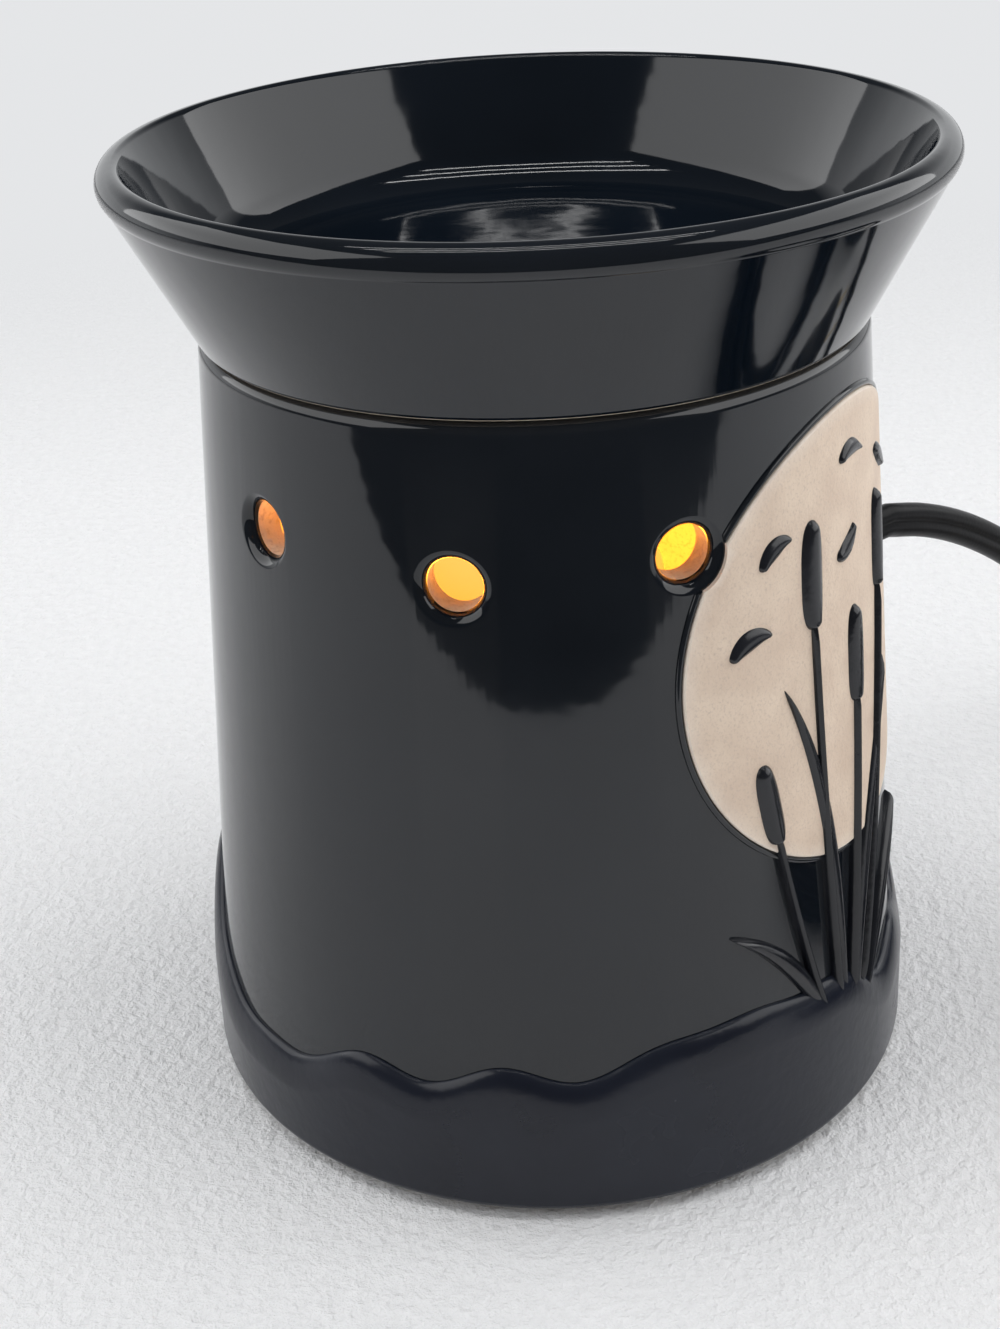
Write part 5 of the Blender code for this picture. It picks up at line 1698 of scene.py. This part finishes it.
@dataclass
class Lead:
    """The mains lead: its strain relief, the free run to the switch, and the coil with its tie."""

    diameter: float = 6.6 * MM
    lobe: float = 2.1 * MM
    exit_azimuth: float = 130.0
    exit_height: float = 64.6 * MM
    relief_outside: float = 54.957 * MM
    relief_inside: float = 47.589 * MM
    relief_inner_end: float = 44.589 * MM
    relief_length: float = 23.0 * MM
    relief_neck: float = 4.0 * MM
    relief_flange: float = 6.4 * MM
    relief_flange_thickness: float = 2.0 * MM
    relief_tip: float = 4.1 * MM
    relief_ribs: int = 5
    tuck: float = 1.5 * MM
    coil_x: float = 146.0 * MM
    coil_y: float = -22.0 * MM
    coil_turns: float = 4.6
    coil_outer: float = 46.0 * MM
    coil_step: float = 7.2 * MM
    coil_bottom: float = 4.7 * MM
    coil_points: int = 48
    coil_lead_out: float = 14.0 * MM
    tail_straight: float = 0.12
    tie_turn: float = 0.15
    tie_width: float = 10.0 * MM
    tie_thickness: float = 0.7 * MM
    plug_axis: float = 9.5 * MM
    segments: int = 28

    # The free run's route from the relief to the switch, in mm, after its first straight run
    ROUTE = (
        (72.8, 61.1, 61.6), (81.2, 68.2, 56.8), (89.6, 75.2, 50.5), (98.5, 82.4, 42.4),
        (108.5, 89.2, 33.0), (119.5, 95.0, 23.6), (131.5, 99.6, 14.8), (144.5, 101.8, 8.0),
        (157.5, 100.2, 4.4), (169.5, 94.8, 3.6), (179.4, 86.4, 4.2), (187.0, 76.0, 6.6),
    )

    @classmethod
    def exit_frame(cls) -> Matrix:
        """The frame in which the lead leaves the wall."""
        return outward_frame(cls.exit_azimuth, cls.exit_height)

    @property
    def coil_inner(self) -> float:
        """The least radius of the coil's turns."""
        return self.coil_outer - self.coil_step * self.coil_turns / 2

    def section(self, angle: float) -> Point2:
        """The lead's section: two round lobes, one over the other, with a groove between them.

        Args:
            angle: The angle round it.

        Returns:
            The sideways and upward place there.
        """
        offset = self.diameter / 2 - self.lobe
        reach = offset * abs(math.sin(angle)) + math.sqrt(self.lobe**2 - (offset * math.cos(angle)) ** 2)
        return reach * math.cos(angle), reach * math.sin(angle)

    def build(self, switch: Switch, plug: Plug) -> None:
        """Make the lead and what is on it.

        Args:
            switch: The switch on the lead.
            plug: The plug on its end.
        """
        relief = self.make_relief()
        tip = self.exit_frame()
        out = self.relief_outside + self.relief_length
        first = tip @ Vector((0.0, 0.0, out - self.tuck))
        straight = tip @ Vector((0.0, 0.0, out + GAP + self.diameter))
        end = Vector((switch.x, switch.y + switch.length / 2 + GAP, switch.axis))
        before_end = end + Vector((0.0, self.diameter, 0.0))
        corners = [straight, *(Vector(point) * MM for point in self.ROUTE), before_end]
        run = [first, *smooth_route(corners, 3.0 * MM), end - Vector((0.0, self.tuck, 0.0))]
        lead = self.make_cord("lead_run", run, ["cord_lead"])
        switch_pieces = switch.build()
        length_of(run)
        [tuple(point) for point in run]
        tail, onward = self.coil_route(switch)
        coil = self.make_cord("lead_coil", tail, ["cord_tail", "cord_coil"])
        tie = self.make_tie()
        plug_pieces = plug.build(tail[-1] + onward * (GAP - self.tuck), onward)
        tuple(tail[0])
        length_of(tail)
        [tuple(point) for point in tail]
        LOG.info("free lead: %.3f m and %.3f m", length_of(run), length_of(tail))

    def make_cord(self, name: str, route: Sequence[Vector], nodes: Sequence[str]) -> bpy.types.Object:
        """A length of the lead.

        Args:
            name: The piece's name.
            route: The points it follows.
            nodes: The CAD nodes that it stands for.

        Returns:
            The piece.
        """
        cord = swept(route, self.section, self.segments)
        return make_piece(name, cord, [Look.VINYL], Body.ROOT, Slot.CORD, nodes, crease=60.0)

    def make_relief(self) -> bpy.types.Object:
        """The strain relief through the wall: flanged on both sides, with a ribbed, tapered sleeve.

        Returns:
            The piece.
        """
        near, inside, end = self.relief_outside, self.relief_inside, self.relief_inner_end
        neck, flange = self.relief_neck, self.relief_flange
        shoulder, tip = near + self.relief_flange_thickness, near + self.relief_length
        root, groove = neck + 1.6 * MM, 0.7 * MM
        corners: list[Corner] = [(0.0, tip, 0.0), (self.relief_tip, tip, 0.6 * MM)]
        pitch = (tip - shoulder) / (self.relief_ribs + 1)
        for rib in range(self.relief_ribs):
            middle = tip - pitch * (rib + 0.8)
            for side, depth in ((0.3, 0.0), (0.18, 1.0), (-0.18, 1.0), (-0.3, 0.0)):
                level = middle + side * pitch
                sleeve = self.relief_tip + (root - self.relief_tip) * (tip - level) / (tip - shoulder)
                corners.append((sleeve - depth * groove, level, 0.25 * MM))
        corners += [(root, shoulder, 0.8 * MM), (flange, shoulder, 0.6 * MM), (flange, near, 0.2 * MM)]
        corners += [(neck, near, 0.0), (neck, inside, 0.0), (flange, inside, 0.3 * MM)]
        corners += [(flange, end, 0.5 * MM), (0.0, end, 0.0)]
        relief = moved(turned(filleted(corners, steps=4), 64), self.exit_frame())
        return make_piece("strain_relief", relief, [Look.VINYL], Body.ROOT, Slot.CORD, ["cord_relief"])

    def coil_point(self, turn: float) -> Vector:
        """The coil's centreline, which spirals in, climbs a layer and spirals out again.

        Args:
            turn: The number of turns from its start.

        Returns:
            The point there.
        """
        away = turn - self.coil_turns / 2
        radius = self.coil_inner + self.coil_step * abs(away)
        height = self.coil_bottom + self.coil_step * ease(away * 2 + 0.5)
        x, y = radius * math.cos(-TURN * turn), radius * math.sin(-TURN * turn)
        return Vector((self.coil_x + x, self.coil_y + y, height))

    def coil_route(self, switch: Switch) -> tuple[list[Vector], Vector]:
        """The way from the switch through the coil to the plug.

        Args:
            switch: The switch on the lead.

        Returns:
            The route, and the direction of its end.
        """
        count = round(self.coil_turns * self.coil_points)
        turns = [self.coil_point(self.coil_turns * step / count) for step in range(count + 1)]
        high = Vector((switch.x, switch.y - switch.length / 2 - GAP, switch.axis))
        low = turns[0] + Vector((0.0, self.diameter, 0.0))
        run = [high + Vector((0.0, self.tuck, 0.0))]
        steps = 12
        for step in range(steps + 1):
            share = self.tail_straight + (1.0 - 2 * self.tail_straight) * step / steps
            place = high.lerp(low, share)
            place.z = high.z + (low.z - high.z) * ease(step / steps)
            run.append(place)
        end_angle = -TURN * self.coil_turns
        onward = Vector((math.sin(end_angle), -math.cos(end_angle), 0.0))
        leaving = []
        rises = 6
        for step in range(1, rises + 1):
            place = turns[-1] + onward * self.coil_lead_out * step / rises
            place.z += (self.plug_axis - turns[-1].z) * ease(step / rises)
            leaving.append(place)
        end = leaving[-1] + onward * (self.diameter + self.tuck)
        return [*run, low, *turns, *leaving, end], onward

    def make_tie(self) -> bpy.types.Object:
        """The hook-and-loop strap round the coil's turns, with its loose end lying on top.

        Returns:
            The piece.
        """
        passes = range(math.floor(self.coil_turns - self.tie_turn) + 1)
        aways = [abs(self.tie_turn + count - self.coil_turns / 2) for count in passes]
        radii = [self.coil_inner + self.coil_step * away for away in aways]
        drift = self.coil_step * self.tie_width / 2 / (TURN * self.coil_inner)
        bow = (self.tie_width / 2) ** 2 / (2 * self.coil_inner)
        spare, round_in = self.diameter / 2 + GAP, self.diameter / 4
        low = (min(radii) - spare - drift - bow, self.coil_bottom - spare)
        high = (max(radii) + spare + drift, self.coil_bottom + self.coil_step + spare)
        strap = bmesh.new()
        loops = []
        for grown in (0.0, self.tie_thickness):
            box = [(low[0] - grown, low[1] - grown), (high[0] + grown, low[1] - grown)]
            box += [(high[0] + grown, high[1] + grown), (low[0] - grown, high[1] + grown)]
            outline = filleted([(*corner, round_in + grown) for corner in box], closed=True)
            points = [strap.verts.new((x, 0.0, z)) for x, z in outline]
            loops += [strap.edges.new(pair) for pair in zip(points, [*points[1:], points[0]])]
        bmesh.ops.bridge_loops(strap, edges=loops)
        bmesh.ops.solidify(strap, geom=strap.faces[:], thickness=self.tie_width)
        heights = [vertex.co.y for vertex in strap.verts]
        shifted(strap, (0.0, -(min(heights) + max(heights)) / 2, 0.0))
        bmesh.ops.recalc_face_normals(strap, faces=strap.faces)
        flap_size = ((high[0] - low[0]) * 0.62, self.tie_width * 0.96, self.tie_thickness)
        flap_place = (low[0] + flap_size[0] * 0.62, 0.0, high[1] + 1.42 * self.tie_thickness)
        whole = joined([strap, shifted(rounded_block(flap_size, 0.25 * MM), flap_place)])
        turn = Matrix.Rotation(-TURN * self.tie_turn, 4, "Z")
        tie = moved(whole, Matrix.Translation((self.coil_x, self.coil_y, 0.0)) @ turn)
        return make_piece("coil_strap", tie, [Look.STRAP], Body.ROOT, Slot.TIE, ["cord_tie"])


@dataclass
class Switch:
    """The switch on the lead: two housing halves, a ribbed thumbwheel and the small parts inside."""

    frame: dict
    x: float = 192.0 * MM
    y: float = 34.0 * MM
    axis: float = 9.0 * MM
    length: float = 48.0 * MM
    width: float = 24.0 * MM
    end_width: float = 11.0 * MM
    end_height: float = 11.0 * MM
    wheel_radius: float = 13.4 * MM
    wheel_half: float = 3.0 * MM
    wheel_clearance: float = 0.5 * MM
    teeth: int = 24
    tooth: float = 0.5 * MM
    axle_radius: float = 2.4 * MM
    axle_length: float = 2.4 * MM
    screw_x: float = 3.6 * MM
    screw_y: float = 18.6 * MM
    screw_head: float = 2.3 * MM
    screw_sink: float = 2.2 * MM
    seam: float = 0.15 * MM

    def build(self) -> list[bpy.types.Object]:
        """Make the switch.

        Returns:
            Its pieces and the CAD nodes that stay.
        """
        pieces = [self.make_half("switch_base", -1.0), self.make_half("switch_cover", 1.0)]
        pieces.append(self.make_wheel())
        contacts, screws = ("switch_contact_1", "switch_contact_2"), ("switch_screw_1", "switch_screw_2")
        dress(self.frame, Look.BRASS, *contacts)
        dress(self.frame, Look.ZINC, *screws)
        return pieces + [self.frame["nodes"][name] for name in (*contacts, *screws)]

    def stations(self) -> list[Station]:
        """The housing's sections from end to end.

        Returns:
            The sections, for lofted.
        """
        count = 33
        made = []
        for step in range(count):
            share = step / (count - 1)
            swell = math.sin(math.pi * min(share, 1.0 - share)) ** 0.6
            wide = (self.end_width + (self.width - self.end_width) * swell) / 2
            rise = min(1.0, swell * 1.25)
            high = (self.end_height + (2 * self.axis - self.end_height) * rise) / 2
            made.append((self.length * (share - 0.5), wide, high, 3.0 + 2.5 * swell))
        nose, reach, square = 0.82, 0.8 * MM, 2.6
        (start, wide, high, _), (end, *_) = made[0], made[-1]
        made.insert(0, (start - reach, wide * nose, high * nose, square))
        made.append((end + reach, wide * nose, high * nose, square))
        return made

    def make_half(self, node: str, side: float) -> bpy.types.Object:
        """One half of the housing.

        Args:
            node: The CAD node that it stands for.
            side: -1 for the lower half and 1 for the upper.

        Returns:
            The piece.
        """
        half = lofted(self.stations(), 64)
        bmesh.ops.bisect_plane(
            half,
            geom=[*half.verts, *half.edges, *half.faces],
            plane_co=(0.0, 0.0, side * self.seam),
            plane_no=(0.0, 0.0, -side),
            clear_outer=True,
        )
        bmesh.ops.holes_fill(half, edges=[edge for edge in half.edges if edge.is_boundary], sides=0)
        close_up(half)
        room = self.wheel_half + self.wheel_clearance
        axle = room + self.axle_length
        half = cut(half, [bar(self.wheel_radius + self.wheel_clearance, -room, room, 128)])
        half = cut(half, [bar(self.axle_radius + GAP, -axle, axle)])
        if side < 0.0:
            for _, end in SIDES:
                sink = bar(self.screw_head, -self.axis - GAP, -self.axis + self.screw_sink)
                half = cut(half, [shifted(sink, (end * self.screw_x, end * self.screw_y, 0.0))])
        half = shifted(half, (self.x, self.y, self.axis))
        name = "housing_base" if side < 0.0 else "housing_cover"
        return make_piece(name, half, [Look.HOUSING], Body.ROOT, Slot.SWITCH, [node])

    def make_wheel(self) -> bpy.types.Object:
        """The ribbed thumbwheel on its stub axles.

        Returns:
            The piece.
        """
        half, axle, hub = self.wheel_half, self.wheel_half + self.axle_length, self.axle_radius
        rim, web = self.wheel_radius, self.wheel_radius - 2.5 * MM
        upper = [(0.0, axle, 0.0), (hub, axle, 0.2 * MM), (hub, half, 0.0), (web, half, 0.4 * MM)]
        upper.append((rim, half, 0.7 * MM))
        corners = upper + [(radius, -height, edge) for radius, height, edge in reversed(upper)]
        wheel = turned(filleted(corners, steps=4), 8 * self.teeth)
        inner = self.wheel_radius - 1.2 * MM
        for vertex in wheel.verts:
            x, y, z = vertex.co
            reach = math.hypot(x, y)
            if reach > inner:
                dip = (0.5 - 0.5 * math.cos(self.teeth * math.atan2(y, x))) ** 2
                shrink = 1.0 - self.tooth * dip * ease((reach - inner) / (0.8 * MM)) / reach
                vertex.co = (x * shrink, y * shrink, z)
        wheel = shifted(wheel, (self.x, self.y, self.axis))
        return make_piece("ribbed_wheel", wheel, [Look.WHEEL], Body.WHEEL, Slot.WHEEL, ["switch_wheel"])


@dataclass
class Plug:
    """The moulded two-pin plug."""

    half_width: float = 12.0 * MM
    half_height: float = 9.5 * MM
    length: float = 30.0 * MM
    relief_length: float = 20.0 * MM
    relief_root: float = 6.4 * MM
    relief_tip: float = 4.1 * MM
    ribs: int = 5
    groove: float = 0.7 * MM
    blade_spacing: float = 12.7 * MM
    blade_width: float = 6.35 * MM
    blade_thickness: float = 1.5 * MM
    blade_length: float = 17.0 * MM
    blade_root: float = 6.0 * MM
    blade_hole: float = 1.5 * MM
    blade_hole_inset: float = 4.0 * MM

    # The body's sections: the share of its length, of its half width and half height, and its squareness
    SECTIONS = (
        (0.00, 0.60, 0.70, 2.6), (0.05, 0.68, 0.76, 3.0), (0.16, 0.76, 0.80, 3.6),
        (0.30, 0.79, 0.80, 4.2), (0.42, 0.77, 0.76, 4.4), (0.52, 0.78, 0.76, 4.6),
        (0.62, 0.84, 0.80, 4.8), (0.72, 0.92, 0.88, 5.0), (0.80, 0.97, 0.95, 5.2),
        (0.86, 1.00, 1.00, 5.4), (0.95, 1.00, 1.00, 5.6), (0.985, 0.985, 0.98, 5.4),
        (1.00, 0.95, 0.94, 5.2),
    )

    def build(self, start: Vector, onward: Vector) -> list[bpy.types.Object]:
        """Make the plug on the lead's end.

        Args:
            start: The middle of its rear end.
            onward: The direction that it points in.

        Returns:
            Its pieces.
        """
        up = Vector((0.0, 0.0, 1.0))
        axes = Matrix((onward.cross(up), onward, up)).transposed().to_4x4()
        place = Matrix.Translation(start) @ axes
        plug = moved(lofted(self.stations(), 64), place)
        pieces = [make_piece("moulded_plug", plug, [Look.PLUG], Body.ROOT, Slot.PLUG, ["plug_body"])]
        for number, side in SIDES:
            pieces.append(self.make_blade(number, side, place))
        return pieces

    def stations(self) -> list[Station]:
        """The sections of the ribbed sleeve and of the body.

        Returns:
            The sections, for lofted.
        """
        made: list[Station] = []
        pitch = self.relief_length / self.ribs
        for rib in range(self.ribs):
            for share, depth in ((0.0, 0.0), (0.08, 0.0), (0.60, 0.0), (0.68, 1.0), (0.92, 1.0)):
                along = pitch * (rib + share)
                grown = (self.relief_root - self.relief_tip) * along / self.relief_length
                reach = self.relief_tip + grown - depth * self.groove
                made.append((along, reach, reach, 2.2))
        for share, wide, high, square in self.SECTIONS:
            along = self.relief_length + self.length * share
            made.append((along, self.half_width * wide, self.half_height * high, square))
        return made

    def make_blade(self, number: int, side: float, place: Matrix) -> bpy.types.Object:
        """One flat pin with its hole.

        Args:
            number: Its number.
            side: Its side of the plug, -1 or 1.
            place: The plug's frame.

        Returns:
            The piece.
        """
        front = self.relief_length + self.length
        size = (self.blade_thickness, self.blade_length + self.blade_root, self.blade_width)
        blade = rounded_block(size, 0.35 * MM)
        hole = bar(self.blade_hole, -self.blade_width, self.blade_width, 40)
        hole_y = (self.blade_length + self.blade_root) / 2 - self.blade_hole_inset
        across = Matrix.Translation((0.0, hole_y, 0.0)) @ Matrix.Rotation(TURN / 4, 4, "Y")
        blade = cut(blade, [moved(hole, across)])
        middle = front + (self.blade_length - self.blade_root) / 2
        at = Matrix.Translation((side * self.blade_spacing / 2, middle, 0.0))
        blade = moved(blade, place @ at)
        node = f"plug_blade_{number}"
        return make_piece(f"flat_pin_{number}", blade, [Look.BRASS], Body.ROOT, Slot.BRASS, [node])


# Studio


@dataclass(frozen=True)
class SoftLight:
    """A soft rectangular light, with its place, what it faces, its width and height, and its watts."""

    name: str
    place: Corner
    target: Corner
    size: Point2
    power: float
    mirrored: bool = True

    def build(self) -> None:
        """Add the light to the scene."""
        data = bpy.data.lights.new(self.name, "AREA")
        data.shape = "RECTANGLE"
        data.size, data.size_y = self.size
        data.energy = self.power
        light = bpy.data.objects.new(self.name, data)
        light.location = self.place
        facing = Vector(self.target) - Vector(self.place)
        light.rotation_euler = facing.to_track_quat("-Z", "Y").to_euler()
        light.visible_camera = False
        light.visible_glossy = self.mirrored
        bpy.context.scene.collection.objects.link(light)


@dataclass
class Studio:
    """The camera, the floor, the soft lights and the pale surroundings."""

    camera_place: Corner = (0.0, -0.29234, 0.21563)
    pitch: float = 0.4747
    roll: float = -0.0504
    yaw: float = -0.0259
    focal_pixels: float = 2000.0
    image_height: float = 1329.0
    sensor: float = 36.0
    floor_side: float = 1.5
    floor_front: float = 0.27
    floor_fade: Point2 = (0.24, 0.60)
    foam_dark: Colour = (0.76, 0.76, 0.77)
    foam_light: Colour = (0.90, 0.90, 0.91)
    foam_grain: float = 420.0
    foam_depth: float = 1.2 * MM
    background: tuple[float, float, float, float] = (0.78, 0.79, 0.805, 1.0)
    soft_colour: tuple[float, float, float, float] = (0.97, 0.985, 1.0, 1.0)
    soft_strength: float = 0.34
    mirrored_strength: Point2 = (0.08, 0.90)
    backdrop_depth: Point2 = (-0.10, 0.40)
    backdrop_height: Point2 = (0.50, 0.22)

    LIGHTS = (
        SoftLight("key", (0.05, 0.25, 0.95), (0.0, 0.02, 0.06), (1.60, 1.20), 3.1, mirrored=False),
        SoftLight("left_box", (-0.74, -0.04, 0.56), (0.0, -0.04, 0.10), (1.30, 0.70), 5.0),
        SoftLight("right_box", (0.76, -0.02, 0.56), (0.0, -0.02, 0.08), (1.30, 0.70), 5.5),
        SoftLight("strip_1", (0.0, -0.16, 0.80), (0.0, -0.16, 0.0), (0.60, 0.010), 0.35),
        SoftLight("strip_2", (0.0, -0.04, 0.80), (0.0, -0.04, 0.0), (0.60, 0.010), 0.35),
        SoftLight("strip_3", (0.0, 0.08, 0.80), (0.0, 0.08, 0.0), (0.60, 0.010), 0.35),
    )

    def build(self) -> None:
        """Set up everything round the object."""
        bpy.context.scene.view_settings.view_transform = "Standard"
        self.make_floor()
        self.make_world()
        for light in self.LIGHTS:
            light.build()

    def make_camera(self) -> None:
        """The camera at the photograph's viewpoint."""
        data = bpy.data.cameras.new("camera")
        data.sensor_width = self.sensor
        data.sensor_fit = "AUTO"
        data.lens = self.focal_pixels / self.image_height * self.sensor
        data.clip_start = 0.01
        flat = math.cos(self.pitch)
        forward = Vector((math.sin(self.yaw) * flat, math.cos(self.yaw) * flat, -math.sin(self.pitch)))
        right = Vector((math.cos(self.yaw), -math.sin(self.yaw), 0.0))
        up = right.cross(forward)
        across = math.cos(self.roll) * right + math.sin(self.roll) * up
        above = -math.sin(self.roll) * right + math.cos(self.roll) * up
        camera = bpy.data.objects.new("camera", data)
        turn = Matrix((across, above, -forward)).transposed().to_4x4()
        camera.matrix_world = Matrix.Translation(self.camera_place) @ turn
        bpy.context.scene.collection.objects.link(camera)
        bpy.context.scene.camera = camera

    def make_floor(self) -> None:
        """The pale floor, a sheet of fine white foam."""
        shape = bmesh.new()
        bmesh.ops.create_grid(shape, x_segments=2, y_segments=2, size=self.floor_side)
        floor = mesh_object("floor", shape)
        floor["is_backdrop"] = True
        foam = bpy.data.materials.new("white_foam")
        foam.use_nodes = True
        board = NodeBoard(foam.node_tree)
        shader = foam.node_tree.nodes["Principled BSDF"]
        place = board.add("ShaderNodeTexCoord").outputs["Object"]
        noise = board.add("ShaderNodeTexNoise", Vector=place, Scale=self.foam_grain, Detail=3.0)
        noise.inputs["Roughness"].default_value = 0.65
        grain = noise.outputs[0]
        bump = board.add("ShaderNodeBump", Height=grain, Distance=self.foam_depth, Strength=0.8)
        board.feed(shader.inputs["Base Color"], board.blend(grain, self.foam_dark, self.foam_light))
        board.feed(shader.inputs["Normal"], bump.outputs["Normal"])
        board.feed(shader.inputs["Roughness"], 0.7)
        self.fade_out(board, shader, place)
        floor.data.materials.append(foam)

    def fade_out(self, board: NodeBoard, shader: Node, place: Socket) -> None:
        """Let the far floor go over into the white background for the camera.

        From below it shows nothing, and in reflections it ends a little in front of the object.

        Args:
            board: The floor's nodes.
            shader: Its surface.
            place: Its Object coordinates.
        """
        away = board.add("ShaderNodeVectorMath", operation="LENGTH", Vector=place).outputs["Value"]
        far = board.spread(away, source=self.floor_fade, interpolation_type="SMOOTHSTEP")
        path = board.add("ShaderNodeLightPath").outputs
        white = board.add("ShaderNodeEmission", Color=self.background, Strength=1.0)
        seen = board.mix_shaders(board.math("MULTIPLY", far, path["Is Camera Ray"]), shader, white)
        along = board.add("ShaderNodeSeparateXYZ", Vector=place).outputs["Y"]
        front = board.math("LESS_THAN", along, -self.floor_front)
        ended = board.math("MULTIPLY", front, path["Is Glossy Ray"])
        below = board.add("ShaderNodeNewGeometry").outputs["Backfacing"]
        clear = board.add("ShaderNodeBsdfTransparent")
        sided = board.mix_shaders(board.math("MAXIMUM", ended, below), seen, clear)
        board.feed(board.tree.nodes["Material Output"].inputs["Surface"], sided.outputs[0])

    def make_world(self) -> None:
        """Soft light from all round, with a white background for the camera.

        In reflections the backdrop behind the object is white too, and the room in front of it is dim.
        """
        world = bpy.data.worlds.new("pale_surroundings")
        bpy.context.scene.world = world
        world.use_nodes = True
        board = NodeBoard(world.node_tree)
        direction = board.add("ShaderNodeTexCoord").outputs["Generated"]
        axes = board.add("ShaderNodeSeparateXYZ", Vector=direction).outputs
        behind = board.spread(axes["Y"], source=self.backdrop_depth)
        low = board.spread(axes["Z"], source=self.backdrop_height)
        mirrored = board.spread(board.math("MULTIPLY", behind, low), self.mirrored_strength)
        path = board.add("ShaderNodeLightPath").outputs
        glossy = path["Is Glossy Ray"]
        even = board.math("MULTIPLY", board.math("SUBTRACT", 1.0, glossy), self.soft_strength)
        soft = world.node_tree.nodes["Background"]
        board.feed(soft.inputs["Color"], self.soft_colour)
        board.feed(soft.inputs["Strength"], board.math("MULTIPLY_ADD", mirrored, glossy, even))
        white = board.add("ShaderNodeBackground", Color=self.background, Strength=1.0)
        seen = board.math("MAXIMUM", path["Is Camera Ray"], path["Is Transmission Ray"])
        mix = board.mix_shaders(seen, soft, white)
        board.feed(world.node_tree.nodes["World Output"].inputs["Surface"], mix.outputs[0])


def main() -> None:
    """Build the warmer's looks round its frame and report each piece."""
    logging.basicConfig(level=logging.INFO, format="%(message)s")
    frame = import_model()
    cad_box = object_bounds()
    studio = Studio()
    studio.make_camera()
    Lead().build(Switch(frame), Plug())
    CeramicBody().build()
    WaxDish().build()
    Bulb().build(frame)
    LampHolder().build(frame)
    Underside().build()
    studio.build()
    boxes = {"cad": cad_box, "visual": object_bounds()}
    sizes = {name: [[float(value) for value in corner] for corner in box] for name, box in boxes.items()}


if __name__ == "__main__":
    main()
